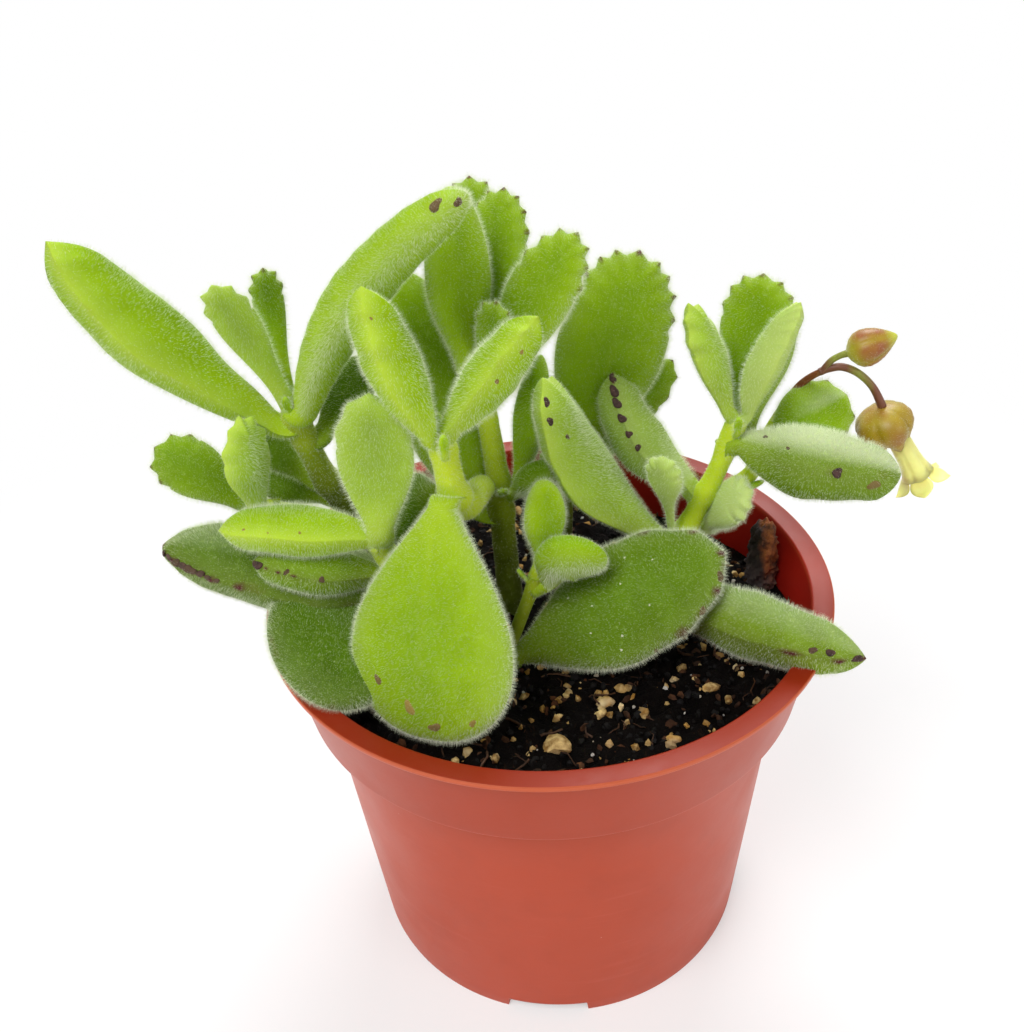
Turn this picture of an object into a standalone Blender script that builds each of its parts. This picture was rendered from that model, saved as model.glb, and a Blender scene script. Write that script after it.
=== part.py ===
"""Potted cotyledon: a branching, furry-leaved succulent in a plastic nursery pot.

The origin is on the ground under the middle of the pot. +X is the plant's right, +Y its back, +Z up.
Lengths in the tables below are millimetres and angles are degrees; the geometry is made in metres.
Azimuths turn from +X towards +Y, and a rise is measured up from the horizontal.
"""

import math

import bmesh
import bpy
from mathutils import Matrix, Vector

MM = 0.001
GAP = 0.3  # clearance between pieces that touch on the real plant
LEAF_GAP = 0.7  # between a leaf's stalk end and its stem

# ---------------------------------------------------------------- driving dimensions
RIM_RADIUS = 45.0
POT_HEIGHT = 67.4
RIM_WIDTH = 3.4
LIP_DEPTH = 1.7
WALL = 1.1
COLLAR_DEPTH = 14.8
COLLAR_TOP = 43.4
COLLAR_RADIUS = 40.8
WALL_TOP = 37.9  # the wall starts inside the collar, so pots stack on that ledge
FOOT_RADIUS = 33.3
FLOOR_HEIGHT = 2.4
FLOOR_THICKNESS = 1.3
PAD_RADIUS = 8.0
POT_SIDES = 56

NOTCH_COUNT = 4
NOTCH_WIDTH = 13.5
FIRST_NOTCH = 265.0
DRAIN_COUNT = 6
FIRST_DRAIN = 22.0
DRAIN_RADIUS = 3.0
DRAIN_CIRCLE = 19.0

SOIL_LEVEL = 60.0
SOIL_FALL = 5.0  # the soil lies this much lower at the wall on its lowest side
SOIL_LOW_SIDE = 50.0
SOIL_RINGS = 5
SOIL_SIDES = 28

STEM_SIDES = 8
LEAF_SIDES = 8

# ---------------------------------------------------------------- stems
# Each point is x, y, z and the stem's radius there. A z of 0 is the soil's surface.
STEMS = {
    "main_stem": (
        (-6, 2, 0, 2.2), (-6.5, 3, 70, 2.0), (-7, 4, 84, 1.8), (-8, 4.5, 95, 1.6), (-8.5, 5, 103, 1.4),
    ),
    "front_branch": (
        (-9.3, 0.8, 84.5, 2.0), (-11.5, -7, 87, 2.2), (-12.5, -11.5, 91, 2.1), (-13, -13.5, 97, 1.9),
        (-13.4, -14, 102, 1.5),
    ),
    "left_branch": (
        (-11, 5, 0, 2.2), (-20.5, 4, 68, 2.2), (-29, 2, 80, 2.1), (-33, 0, 88, 1.9), (-35.5, -2, 100, 1.7),
    ),
    "front_left_branch": ((-13, -4, 0, 1.9), (-18, -7, 68, 1.8), (-22, -10, 77, 1.7), (-24.2, -12, 84, 1.5)),
    "left_shoot": ((-31.5, 0, 79, 1.2), (-37, -2, 83, 1.1), (-43, -4, 86, 1.0)),
    "right_branch": (
        (17, 4, 0, 2.0), (21, 3, 71, 2.0), (23.5, 3.5, 77, 1.6), (26.5, 4.2, 84, 1.5), (29, 5, 92, 1.4),
    ),
    "flower_stem": (
        (24, 7.5, 72, 1.3), (28, 7.5, 77, 1.3), (32.5, 8.8, 80, 1.3), (35, 9.5, 87, 1.2), (39, 10, 94.5, 0.8),
        (42.6, 10, 97.2, 0.65),
    ),
    "back_branch": ((2, 9, 0, 1.8), (3, 11, 70, 1.7), (3.5, 12, 82, 1.5)),
    "rim_shoot": ((-13, -19, 0, 1.6), (-13.5, -19, 62.5, 1.6), (-14, -19, 66, 1.5)),
    "ground_shoot": ((12, -4, 0, 1.6), (12.8, -4.8, 65, 1.6), (13, -5, 69.5, 1.4)),
    "centre_shoot": ((-7.5, -11, 0, 1.1), (-4, -10, 68, 1.0), (-1.2, -9, 75, 1.0)),
}

# ---------------------------------------------------------------- leaf outlines
# widest: where along the blade it is widest; taper: how pointed the end is (1 is a half ellipse);
# teeth: teeth along the end, tooth: their length; neck: radius of the stalk end.
OUTLINES = {
    "spoon": dict(widest=0.66, waist=2.0, taper=0.9, teeth=0, tooth=0.0),
    "drop": dict(widest=0.64, waist=1.1, taper=0.85, teeth=0, tooth=0.0),
    "oval": dict(widest=0.50, waist=1.6, taper=1.0, teeth=0, tooth=0.0),
    "lance": dict(widest=0.50, waist=1.8, taper=1.3, teeth=0, tooth=0.0),
    "paw": dict(widest=0.62, waist=1.6, taper=0.8, teeth=7, tooth=0.9),
    "fan": dict(widest=0.54, waist=1.2, taper=0.75, teeth=7, tooth=1.0),
    "broad": dict(widest=0.50, waist=1.2, taper=1.0, teeth=5, tooth=0.8),
    "claw": dict(widest=0.54, waist=1.6, taper=1.1, teeth=5, tooth=0.7),
    "young": dict(widest=0.66, waist=2.0, taper=0.75, teeth=5, tooth=0.7),
    "stalked": dict(widest=0.74, waist=5.0, taper=0.75, teeth=5, tooth=0.6),
}

# ---------------------------------------------------------------- leaves
# name: stem, height on it, azimuth, rise, length, width, thickness, roll, bow, outline
# roll turns the blade about its length; bow arches its middle towards its upper face.
LEAVES = {
    "left_leaf_long": ("left_branch", 99.5, 187, 52, 37.5, 12, 7, -15, -1.5, "claw"),
    "left_leaf_young_front": ("left_branch", 102.5, 238, 71, 21.5, 6.3, 3, 35, 0, "young"),
    "left_leaf_young_back": ("left_branch", 104, 120, 79, 16.5, 5.5, 3, 0, 0, "young"),
    "left_leaf_arched": ("left_branch", 100.5, 349, 52, 41, 13, 7, 50, 3, "oval"),
    "left_leaf_inner": ("left_branch", 96.5, 18, 52, 12.5, 9, 3, 30, 0, "oval"),
    "left_leaf_back": ("left_branch", 88, 161, 37, 12, 7, 3, -30, 0, "young"),
    "left_leaf_low": ("left_branch", 83.5, 164, 16, 12, 7, 4, -30, 0, "oval"),
    "front_left_leaf_upright": ("front_left_branch", 85.5, 300, 83, 24.5, 10, 4.5, -30, 0, "oval"),
    "front_left_leaf_bright": ("front_left_branch", 85, 190, 15, 21, 8.5, 6.5, 0, 0, "lance"),
    "front_left_leaf_under": ("front_left_branch", 78.3, 190, 17, 18.5, 9.5, 6.5, 0, 0, "lance"),
    "front_left_leaf_long": ("front_left_branch", 71.5, 180, 18, 36.5, 14, 8.5, -15, -1, "oval"),
    "front_left_leaf_rim": ("rim_shoot", 65.5, 180, 12, 26.5, 22, 6, 0, 0, "oval"),
    "shoot_leaf_toothed": ("left_shoot", 86, 180, 45, 14.5, 8.5, 3, -60, 1, "young"),
    "shoot_leaf_oval": ("left_shoot", 87, 294, 82, 16, 8, 5, 0, 1, "oval"),
    "front_leaf_left": ("front_branch", 103, 218, 71, 24, 9.5, 7, 0, 1, "claw"),
    "front_leaf_right": ("front_branch", 103, 338, 56, 21, 10, 7.5, 0, 0, "claw"),
    "front_leaf_hanging": ("front_branch", 91.5, 256, -58, 33, 22.5, 6, 0, 2, "drop"),
    "front_leaf_behind": ("front_branch", 88, 150, -37, 15, 13, 4, -40, 0, "oval"),
    "main_leaf_dark": ("main_stem", 96, 160, 66, 23, 13, 5, -60, 0, "spoon"),
    "crown_leaf_tall": ("main_stem", 104, 225, 88, 26.5, 10, 4, -105, 0, "oval"),
    "crown_leaf_back": ("main_stem", 101, 92, 66, 27.5, 10, 4, 0, 0, "paw"),
    "crown_leaf_middle": ("main_stem", 104.5, 55, 74, 23, 10.5, 3, 0, 0, "paw"),
    "crown_leaf_right": ("main_stem", 103, 338, 59, 23.5, 9.5, 4, 60, 0, "paw"),
    "crown_leaf_small": ("main_stem", 101, 290, 68, 16.5, 5.5, 2, 140, 0, "young"),
    "main_leaf_narrow": ("main_stem", 84, 12, 79, 20.5, 6, 3.5, 40, 0, "lance"),
    "back_leaf_broad": ("back_branch", 82, 35, 69, 33, 20, 5, 46, 0, "fan"),
    "back_leaf_low": ("back_branch", 77, 41, 31, 26.5, 7.5, 3, 55, 0, "young"),
    "right_leaf_clawed_front": ("right_branch", 72, 192, 61, 35, 14.5, 9, -20, -1.5, "claw"),
    "right_leaf_clawed_back": ("right_branch", 79, 154, 56, 23, 10.5, 7.5, -20, 0, "claw"),
    "right_leaf_fork_left": ("right_branch", 93, 200, 71, 20, 6.5, 5, -50, 1, "claw"),
    "right_leaf_fork_right": ("right_branch", 93, 336, 70, 20, 6.5, 5.5, 40, 0, "lance"),
    "right_leaf_furry": ("right_branch", 89.5, 340, -9, 24, 11, 9, 0, -1, "oval"),
    "right_leaf_stalked": ("right_branch", 72, 232, 81, 17.5, 5.5, 3, 0, 0, "stalked"),
    "right_leaf_back": ("right_branch", 91, 50, 69, 22, 12, 4, 25, 0, "paw"),
    "flower_leaf_toothed": ("flower_stem", 86, 354, 44, 12.5, 9.5, 4, 60, 0, "paw"),
    "flower_leaf_young": ("flower_stem", 72.5, 307, 53, 14.5, 6.5, 3, 60, 0, "young"),
    "ground_leaf_broad": ("centre_shoot", 62, 355, 29, 34, 19.5, 6, 48, 0, "broad"),
    "ground_leaf_right": ("ground_shoot", 68, 323, 5, 35, 11.5, 6, 38, 0.5, "claw"),
    "centre_leaf_back": ("main_stem", 82.5, 330, 40, 7.5, 5.5, 3, 0, 0, "oval"),
    "centre_leaf_upright": ("centre_shoot", 76, 70, 77, 13, 6.5, 4.5, 0, 0, "oval"),
    "centre_leaf_side": ("centre_shoot", 75.5, 340, 27, 9, 6.5, 5.5, 0, 0, "oval"),
}

# ---------------------------------------------------------------- flower
# Each solid runs from a start to an end point; its profile is (share of the way, radius).
FLOWER = {
    "flower_bud": (
        (46.8, 9, 100.7), (53.4, 8, 103),
        ((0, 0.7), (0.12, 2.0), (0.35, 2.9), (0.65, 2.4), (0.88, 1.1), (1, 0.3)),
    ),
    "flower_calyx": (
        (51.4, 8, 91.8), (55.8, 8, 83.2),
        ((0, 0.8), (0.15, 2.8), (0.4, 4.2), (0.65, 4.0), (0.85, 2.8), (1, 2.2)),
    ),
    "flower_corolla": (
        (56.1, 8, 82.8), (60, 7, 77.4),
        ((0, 1.7), (0.4, 1.8), (0.75, 2.6), (1, 3.8), (0.85, 2.0)),
    ),
}
FLOWER_STALKS = {
    "bud_stalk": ((43.6, 9.9, 98.7, 0.5), (45, 9.5, 99.8, 0.5), (46.3, 9.1, 100.4, 0.5)),
    "calyx_stalk": (
        (43.3, 10, 97.4, 0.6), (45.2, 9.6, 97.7, 0.6), (47.5, 9, 96.7, 0.6), (49.8, 8.5, 94.6, 0.6),
        (51, 8.1, 92.5, 0.7),
    ),
}
STUB = ((36.5, 9, 0, 2.4), (36.6, 9, 62, 2.4), (36.6, 9.5, 68.5, 2.1))


YOUNG_LEAVES = {
    "left_leaf_arched", "shoot_leaf_oval", "front_left_leaf_bright", "front_leaf_left", "front_leaf_right",
    "front_leaf_hanging", "right_leaf_fork_left", "right_leaf_fork_right", "right_leaf_stalked",
    "flower_leaf_young", "centre_leaf_upright", "centre_leaf_side",
}

# ---------------------------------------------------------------- materials: base colour and roughness
FINISHES = {
    "pot_plastic": ((0.47, 0.075, 0.035), 0.4),
    "soil": ((0.02, 0.016, 0.013), 0.9),
    "stem": ((0.34, 0.45, 0.03), 0.6),
    "leaf": ((0.14, 0.28, 0.03), 0.6),
    "young_leaf": ((0.28, 0.48, 0.03), 0.6),
    "flower_stalk": ((0.22, 0.1, 0.03), 0.5),
    "sepal": ((0.45, 0.28, 0.05), 0.5),
    "petal": ((0.8, 0.62, 0.14), 0.5),
    "bark": ((0.1, 0.045, 0.02), 0.9),
}


# ---------------------------------------------------------------- helpers
def clear_scene():
    for obj in list(bpy.data.objects):
        bpy.data.objects.remove(obj, do_unlink=True)


def material(name):
    """The named material from FINISHES, made the first time it is asked for."""
    if name in bpy.data.materials:
        return bpy.data.materials[name]
    colour, roughness = FINISHES[name]
    made = bpy.data.materials.new(name)
    made.use_nodes = True
    shader = made.node_tree.nodes["Principled BSDF"]
    shader.inputs["Base Color"].default_value = (*colour, 1.0)
    shader.inputs["Roughness"].default_value = roughness
    shader.inputs["Metallic"].default_value = 0.0
    return made


def finish(name, mesh_builder, paint, smooth_angle=40.0):
    """Turns a bmesh in millimetres into a named object in metres."""
    bmesh.ops.recalc_face_normals(mesh_builder, faces=mesh_builder.faces)
    if mesh_builder.calc_volume(signed=True) < 0:
        bmesh.ops.reverse_faces(mesh_builder, faces=mesh_builder.faces)
    bmesh.ops.scale(mesh_builder, vec=(MM, MM, MM), verts=mesh_builder.verts)
    mesh = bpy.data.meshes.new(name)
    mesh_builder.to_mesh(mesh)
    mesh_builder.free()
    mesh.shade_smooth()
    mesh.set_sharp_from_angle(angle=math.radians(smooth_angle))
    mesh.materials.append(paint)
    obj = bpy.data.objects.new(name, mesh)
    bpy.context.scene.collection.objects.link(obj)
    return obj


def turned(profile, sides):
    """A bmesh turned from (radius, height) points; a radius of 0 closes the shape on the axis."""
    built = bmesh.new()
    rings = []
    for radius, height in profile:
        if radius == 0:
            rings.append([built.verts.new((0, 0, height))])
            continue
        ring = []
        for step in range(sides):
            angle = math.tau * step / sides
            ring.append(built.verts.new((radius * math.cos(angle), radius * math.sin(angle), height)))
        rings.append(ring)
    for lower, upper in zip(rings, rings[1:]):
        for step in range(sides):
            corners = [
                lower[step % len(lower)],
                lower[(step + 1) % len(lower)],
                upper[(step + 1) % len(upper)],
                upper[step % len(upper)],
            ]
            built.faces.new(list(dict.fromkeys(corners)))
    return built


def cut_away(target, cutter):
    cutter.hide_render = True
    cutter.display_type = "WIRE"
    cut = target.modifiers.new(cutter.name, "BOOLEAN")
    cut.operation = "DIFFERENCE"
    cut.object = cutter
    cut.solver = "EXACT"


# ---------------------------------------------------------------- pot and soil
def wall_radius(height):
    """Outside radius of the pot's wall at a height."""
    collar_foot = POT_HEIGHT - COLLAR_DEPTH
    if height <= collar_foot:
        return FOOT_RADIUS + (WALL_TOP - FOOT_RADIUS) * height / collar_foot
    return COLLAR_RADIUS + (COLLAR_TOP - COLLAR_RADIUS) * (height - collar_foot) / COLLAR_DEPTH


def build_pot():
    plastic = material("pot_plastic")
    collar_foot = POT_HEIGHT - COLLAR_DEPTH
    lip_foot = POT_HEIGHT - LIP_DEPTH
    inner_rim = RIM_RADIUS - RIM_WIDTH
    floor_top = FLOOR_HEIGHT + FLOOR_THICKNESS
    profile = [
        (0, floor_top),
        (wall_radius(floor_top) - WALL, floor_top),
        (WALL_TOP - WALL, collar_foot + WALL),
        (COLLAR_RADIUS - WALL, collar_foot + WALL + 0.4),
        (inner_rim, POT_HEIGHT - 0.6),
        (RIM_RADIUS - 0.5, POT_HEIGHT),
        (RIM_RADIUS, POT_HEIGHT - 0.4),
        (RIM_RADIUS, lip_foot),
        (wall_radius(lip_foot), lip_foot - 0.2),
        (COLLAR_RADIUS, collar_foot + 0.2),
        (COLLAR_RADIUS - 0.4, collar_foot - 0.2),
        (WALL_TOP, collar_foot - 0.4),
        (FOOT_RADIUS, 0),
        (FOOT_RADIUS - 1.6, 0),
        (FOOT_RADIUS - 1.6, FLOOR_HEIGHT),
        (PAD_RADIUS, FLOOR_HEIGHT),
        (PAD_RADIUS, 0),
        (0, 0),
    ]
    pot = finish("pot", turned(profile, POT_SIDES), plastic)
    for index in range(NOTCH_COUNT):
        angle = math.radians(FIRST_NOTCH + 360.0 * index / NOTCH_COUNT)
        notch = bmesh.new()
        size = Matrix.Diagonal((8.0, NOTCH_WIDTH, 2 * FLOOR_HEIGHT - 0.2, 1.0))
        bmesh.ops.create_cube(notch, size=1.0, matrix=Matrix.Rotation(angle, 4, "Z")
                              @ Matrix.Translation((FOOT_RADIUS, 0, 0)) @ size)
        cut_away(pot, finish(f"notch_cutter_{index}", notch, plastic))
    for index in range(DRAIN_COUNT):
        angle = math.radians(FIRST_DRAIN + 360.0 * index / DRAIN_COUNT)
        drain = bmesh.new()
        centre = Vector((DRAIN_CIRCLE * math.cos(angle), DRAIN_CIRCLE * math.sin(angle), FLOOR_HEIGHT))
        bmesh.ops.create_cone(drain, cap_ends=True, segments=10, radius1=DRAIN_RADIUS, radius2=DRAIN_RADIUS,
                              depth=4 * FLOOR_THICKNESS, matrix=Matrix.Translation(centre))
        cut_away(pot, finish(f"drain_cutter_{index}", drain, plastic))
    return pot


def soil_height(x, y):
    """Height of the soil's surface, level in front and falling away to the back right."""
    low = math.radians(SOIL_LOW_SIDE)
    share = max(x * math.cos(low) + y * math.sin(low), 0) / RIM_RADIUS
    ripple = 0.3 * math.sin(0.31 * x + 1.0) * math.cos(0.27 * y)
    return SOIL_LEVEL - SOIL_FALL * share * share + ripple


def build_soil():
    built = bmesh.new()
    edge = wall_radius(SOIL_LEVEL - SOIL_FALL) - WALL - GAP
    floor = FLOOR_HEIGHT + FLOOR_THICKNESS + GAP
    ledge = POT_HEIGHT - COLLAR_DEPTH
    rings = []
    for ring_index in range(1, SOIL_RINGS + 1):
        ring = []
        for step in range(SOIL_SIDES):
            angle = math.tau * step / SOIL_SIDES
            x = edge * ring_index / SOIL_RINGS * math.cos(angle)
            y = edge * ring_index / SOIL_RINGS * math.sin(angle)
            ring.append(built.verts.new((x, y, soil_height(x, y))))
        rings.append(ring)
    for radius, height in (
        (COLLAR_RADIUS - WALL - GAP - 0.1, ledge + WALL + GAP + 0.5),
        (WALL_TOP - WALL - GAP - 0.2, ledge + WALL + GAP + 0.1),
        (wall_radius(floor) - WALL - GAP - 0.1, floor),
    ):
        ring = []
        for step in range(SOIL_SIDES):
            angle = math.tau * step / SOIL_SIDES
            ring.append(built.verts.new((radius * math.cos(angle), radius * math.sin(angle), height)))
        rings.append(ring)
    for inner, outer in zip(rings, rings[1:]):
        for step in range(SOIL_SIDES):
            following = (step + 1) % SOIL_SIDES
            built.faces.new((inner[step], inner[following], outer[following], outer[step]))
    top = built.verts.new((0, 0, soil_height(0, 0)))
    bottom = built.verts.new((0, 0, floor))
    for step in range(SOIL_SIDES):
        following = (step + 1) % SOIL_SIDES
        built.faces.new((top, rings[0][following], rings[0][step]))
        built.faces.new((bottom, rings[-1][step], rings[-1][following]))
    return finish("soil", built, material("soil"))


# ---------------------------------------------------------------- stems
def between(before, start, end, after, t):
    """Catmull-Rom value a share t of the way from start to end."""
    slope = end - before
    bend = 2 * before - 5 * start + 4 * end - after
    twist = 3 * start - before - 3 * end + after
    return 0.5 * (2 * start + slope * t + bend * t * t + twist * t ** 3)


def smooth_path(points, steps):
    """Catmull-Rom points through (x, y, z, radius) tuples, ends included."""
    x, y, z, radius = points[0]
    if z == 0:
        points = [(x, y, soil_height(x, y) + 2 * GAP, radius), *points[1:]]
    padded = [points[0], *points, points[-1]]
    path = []
    for index in range(len(points) - 1):
        a, b, c, d = padded[index:index + 4]
        for step in range(steps):
            path.append(tuple(between(*values, step / steps) for values in zip(a, b, c, d)))
    path.append(tuple(float(value) for value in points[-1]))
    return path


def tube(name, path, sides, paint):
    """A round-ended solid along (x, y, z, radius) points."""
    built = bmesh.new()
    rings = []
    side = Vector((1, 0, 0))
    for index, (x, y, z, radius) in enumerate(path):
        before = Vector(path[max(index - 1, 0)][:3])
        after = Vector(path[min(index + 1, len(path) - 1)][:3])
        along = (after - before).normalized()
        if index == 0 and path[0][2] < SOIL_LEVEL + 2:
            along = Vector((0, 0, 1))
        side = (side - along * side.dot(along)).normalized()
        other = along.cross(side)
        ring = []
        for step in range(sides):
            angle = math.tau * step / sides
            spoke = side * math.cos(angle) + other * math.sin(angle)
            ring.append(built.verts.new(Vector((x, y, z)) + spoke * radius))
        rings.append(ring)
    for lower, upper in zip(rings, rings[1:]):
        for step in range(sides):
            following = (step + 1) % sides
            built.faces.new((lower[step], lower[following], upper[following], upper[step]))
    built.faces.new(rings[0])
    built.faces.new(rings[-1])
    return finish(name, built, paint, 60.0)


def point_at_height(path, height):
    """(point, radius) where a rising stem passes a height, or its top end raised to that height."""
    for low, high in zip(path, path[1:]):
        if low[2] <= height <= high[2]:
            t = (height - low[2]) / max(high[2] - low[2], 1e-6)
            x, y, z, radius = (a + (b - a) * t for a, b in zip(low, high))
            return Vector((x, y, z)), radius
    x, y, z, radius = path[-1]
    return Vector((x, y, height)), 0.0


# ---------------------------------------------------------------- leaves
def outline_points(length, width, neck, widest, waist, taper, teeth, tooth):
    """One half of a blade's outline from its stalk to its end.

    Each item is (along, across, spine), all in millimetres: the margin's place, and the place on the
    midrib that it is joined to. Teeth stand out at right angles to the margin around the blade's end.
    """
    half = width / 2
    points = []
    stalk_steps = 3
    for step in range(stalk_steps):
        t = step / stalk_steps
        across = neck + (half - neck) * math.sin(0.5 * math.pi * t) ** waist
        points.append((length * widest * t, across, length * widest * t))
    end = length * (1 - widest)
    side_teeth = teeth // 2
    turns = [0.0, math.pi / 6, math.pi / 3, math.pi / 2]
    lifts = [0.0, 0.0, 0.0, 0.0]
    if teeth:
        pitch = math.radians(64.0) / side_teeth
        turns = [0.0]
        lifts = [0.0]
        for index in range(side_teeth, -1, -1):
            peak = math.pi / 2 - pitch * index
            if index < side_teeth:
                turns.append(peak - pitch / 2)
                lifts.append(-0.35 * tooth)
            turns.append(peak)
            lifts.append(0.65 * tooth)
    for turn, lift in zip(turns, lifts):
        along = end * math.sin(turn)
        across = half * max(math.cos(turn), 0.0) ** taper
        normal = Vector((along / (end * end), across / (half * half))).normalized()
        spine = length * widest + 0.62 * end * math.sin(turn)
        points.append((length * widest + along + normal.x * lift, max(across + normal.y * lift, 0.0), spine))
    along, _, spine = points[-1]
    points[-1] = (along, 0.0, spine)
    return points


def leaf(name, spec, paths, paint):
    stem, height, azimuth, rise, length, width, thickness, roll, bow, outline = spec
    shape = OUTLINES[outline]
    neck = min(0.16 * width + 0.3, 2.0)
    neck_depth = min(neck, 0.42 * thickness)
    heading, climb = math.radians(azimuth), math.radians(rise)
    outward = Vector((math.cos(heading), math.sin(heading), 0))
    along = outward * math.cos(climb) + Vector((0, 0, math.sin(climb)))
    base, stem_radius = point_at_height(paths[stem], height)
    base += outward * (stem_radius + LEAF_GAP + neck_depth * abs(math.sin(climb)))
    upper = (Vector((0, 0, 1)) - along * along.z).normalized()
    upper.rotate(Matrix.Rotation(math.radians(roll), 3, along))
    across = upper.cross(along)

    def place(a, b, c):
        """World place of a point a along the blade, b across it and c above its middle surface."""
        u = a / length
        slope = 4 * bow / length * (1 - 2 * u)
        lean = (upper - along * slope).normalized()
        middle = base + along * a + upper * (4 * bow * u * (1 - u))
        return middle + across * b + lean * c

    margin = outline_points(length, width, neck, **shape)
    built = bmesh.new()
    last = len(margin) - 1
    rows = []
    for index, (reach, half, spine) in enumerate(margin):
        grow = min(spine / (length * shape["widest"]), 1.0)
        fade = 1.0 - 0.35 * max(spine / length - shape["widest"], 0.0) / (1 - shape["widest"])
        depth = neck_depth + (thickness / 2 - neck_depth) * math.sin(0.5 * math.pi * grow)
        depth *= fade
        row = {}
        for part, share in ((0.0, 1.0), (0.62, 0.78)):
            a = spine + (reach - spine) * part
            for sign in (1, -1):
                for face in (1, -1):
                    key = (0 if part == 0 else sign, part, face)
                    if index == last and part > 0:
                        key = (0, part, face)
                    if key not in row:
                        row[key] = built.verts.new(place(a, key[0] * half * part, face * depth * share))
        row[(1, 1.0, 0)] = built.verts.new(place(reach, half, 0))
        row[(-1, 1.0, 0)] = row[(1, 1.0, 0)] if index == last else built.verts.new(place(reach, -half, 0))
        rows.append(row)

    def ring(row, is_last):
        side = 0 if is_last else 1
        return [
            row[(0, 0.0, 1)], row[(side, 0.62, 1)], row[(1, 1.0, 0)], row[(side, 0.62, -1)],
            row[(0, 0.0, -1)], row[(-side, 0.62, -1)], row[(-1, 1.0, 0)], row[(-side, 0.62, 1)],
        ]

    for index in range(last):
        lower, higher = ring(rows[index], False), ring(rows[index + 1], index + 1 == last)
        for step in range(LEAF_SIDES):
            following = (step + 1) % LEAF_SIDES
            corners = [lower[step], lower[following], higher[following], higher[step]]
            built.faces.new(list(dict.fromkeys(corners)))
    built.faces.new(ring(rows[0], False))
    return finish(name, built, paint, 60.0)


# ---------------------------------------------------------------- flower and stub
def spindle(name, start, end, profile, sides, paint):
    """A solid turned about the line from start to end, through (share of the way, radius) points."""
    start, end = Vector(start), Vector(end)
    along = (end - start).normalized()
    side = along.orthogonal().normalized()
    other = along.cross(side)
    built = bmesh.new()
    rings = []
    for share, radius in profile:
        ring = []
        for step in range(sides):
            angle = math.tau * step / sides
            spoke = side * math.cos(angle) + other * math.sin(angle)
            ring.append(built.verts.new(start.lerp(end, share) + spoke * radius))
        rings.append(ring)
    for lower, upper in zip(rings, rings[1:]):
        for step in range(sides):
            following = (step + 1) % sides
            built.faces.new((lower[step], lower[following], upper[following], upper[step]))
    built.faces.new(rings[0])
    built.faces.new(rings[-1])
    return finish(name, built, paint, 60.0)


# ---------------------------------------------------------------- the whole plant
def build_stems():
    """Makes every stem and returns their smoothed paths for the leaves to grow from."""
    paths = {}
    for name, points in STEMS.items():
        paths[name] = smooth_path(points, 2)
        tube(name, paths[name], STEM_SIDES, material("stem"))
    return paths


def build_leaves(paths):
    for name, spec in LEAVES.items():
        leaf(name, spec, paths, material("young_leaf" if name in YOUNG_LEAVES else "leaf"))


def build_flower():
    for name, points in FLOWER_STALKS.items():
        tube(name, smooth_path(points, 2), 6, material("flower_stalk"))
    for name, (start, end, profile) in FLOWER.items():
        spindle(name, start, end, profile, 10, material("petal" if name == "flower_corolla" else "sepal"))


def build_stub():
    tube("woody_stub", smooth_path(STUB, 2), STEM_SIDES, material("bark"))


def main():
    clear_scene()
    build_pot()
    build_soil()
    build_leaves(build_stems())
    build_flower()
    build_stub()


main()
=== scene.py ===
"""Potted cotyledon: the finished look of a furry-leaved succulent in its plastic nursery pot.

The origin is on the ground under the middle of the pot. +X is the plant's right, +Y its back, +Z up.
Lengths in the tables are millimetres and angles degrees. Azimuths turn from +X towards +Y.
"""

import math

import bmesh
import bpy
import numpy as np
from mathutils import Matrix, Vector


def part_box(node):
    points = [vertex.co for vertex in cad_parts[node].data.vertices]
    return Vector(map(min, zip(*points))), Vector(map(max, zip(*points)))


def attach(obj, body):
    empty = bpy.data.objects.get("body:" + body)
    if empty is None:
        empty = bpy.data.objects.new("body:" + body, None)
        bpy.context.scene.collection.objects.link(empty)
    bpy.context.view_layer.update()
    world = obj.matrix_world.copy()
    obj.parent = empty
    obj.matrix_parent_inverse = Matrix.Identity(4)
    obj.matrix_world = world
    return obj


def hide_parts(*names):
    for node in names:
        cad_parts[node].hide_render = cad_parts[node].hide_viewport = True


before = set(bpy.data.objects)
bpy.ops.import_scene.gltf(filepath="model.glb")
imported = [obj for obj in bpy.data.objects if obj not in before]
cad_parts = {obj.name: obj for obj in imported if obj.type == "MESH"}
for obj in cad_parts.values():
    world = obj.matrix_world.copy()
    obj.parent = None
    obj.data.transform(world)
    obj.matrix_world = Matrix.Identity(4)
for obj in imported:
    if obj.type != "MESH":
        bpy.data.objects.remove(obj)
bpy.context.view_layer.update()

bl_info = {
    "name": "Potted cotyledon",
    "version": (1, 0, 0),
    "blender": (4, 5, 0),
    "location": "View3D > Sidebar > Cotyledon",
    "description": "Makes the pot, soil, stems, furry leaves and flower round the packed frame",
    "category": "Object",
}

MM = 0.001
BODY = "root"
POT_LOW, POT_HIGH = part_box("pot")
RIM_RADIUS = 500 * (POT_HIGH.x - POT_LOW.x)
POT_HEIGHT = 1000 * POT_HIGH.z

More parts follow.
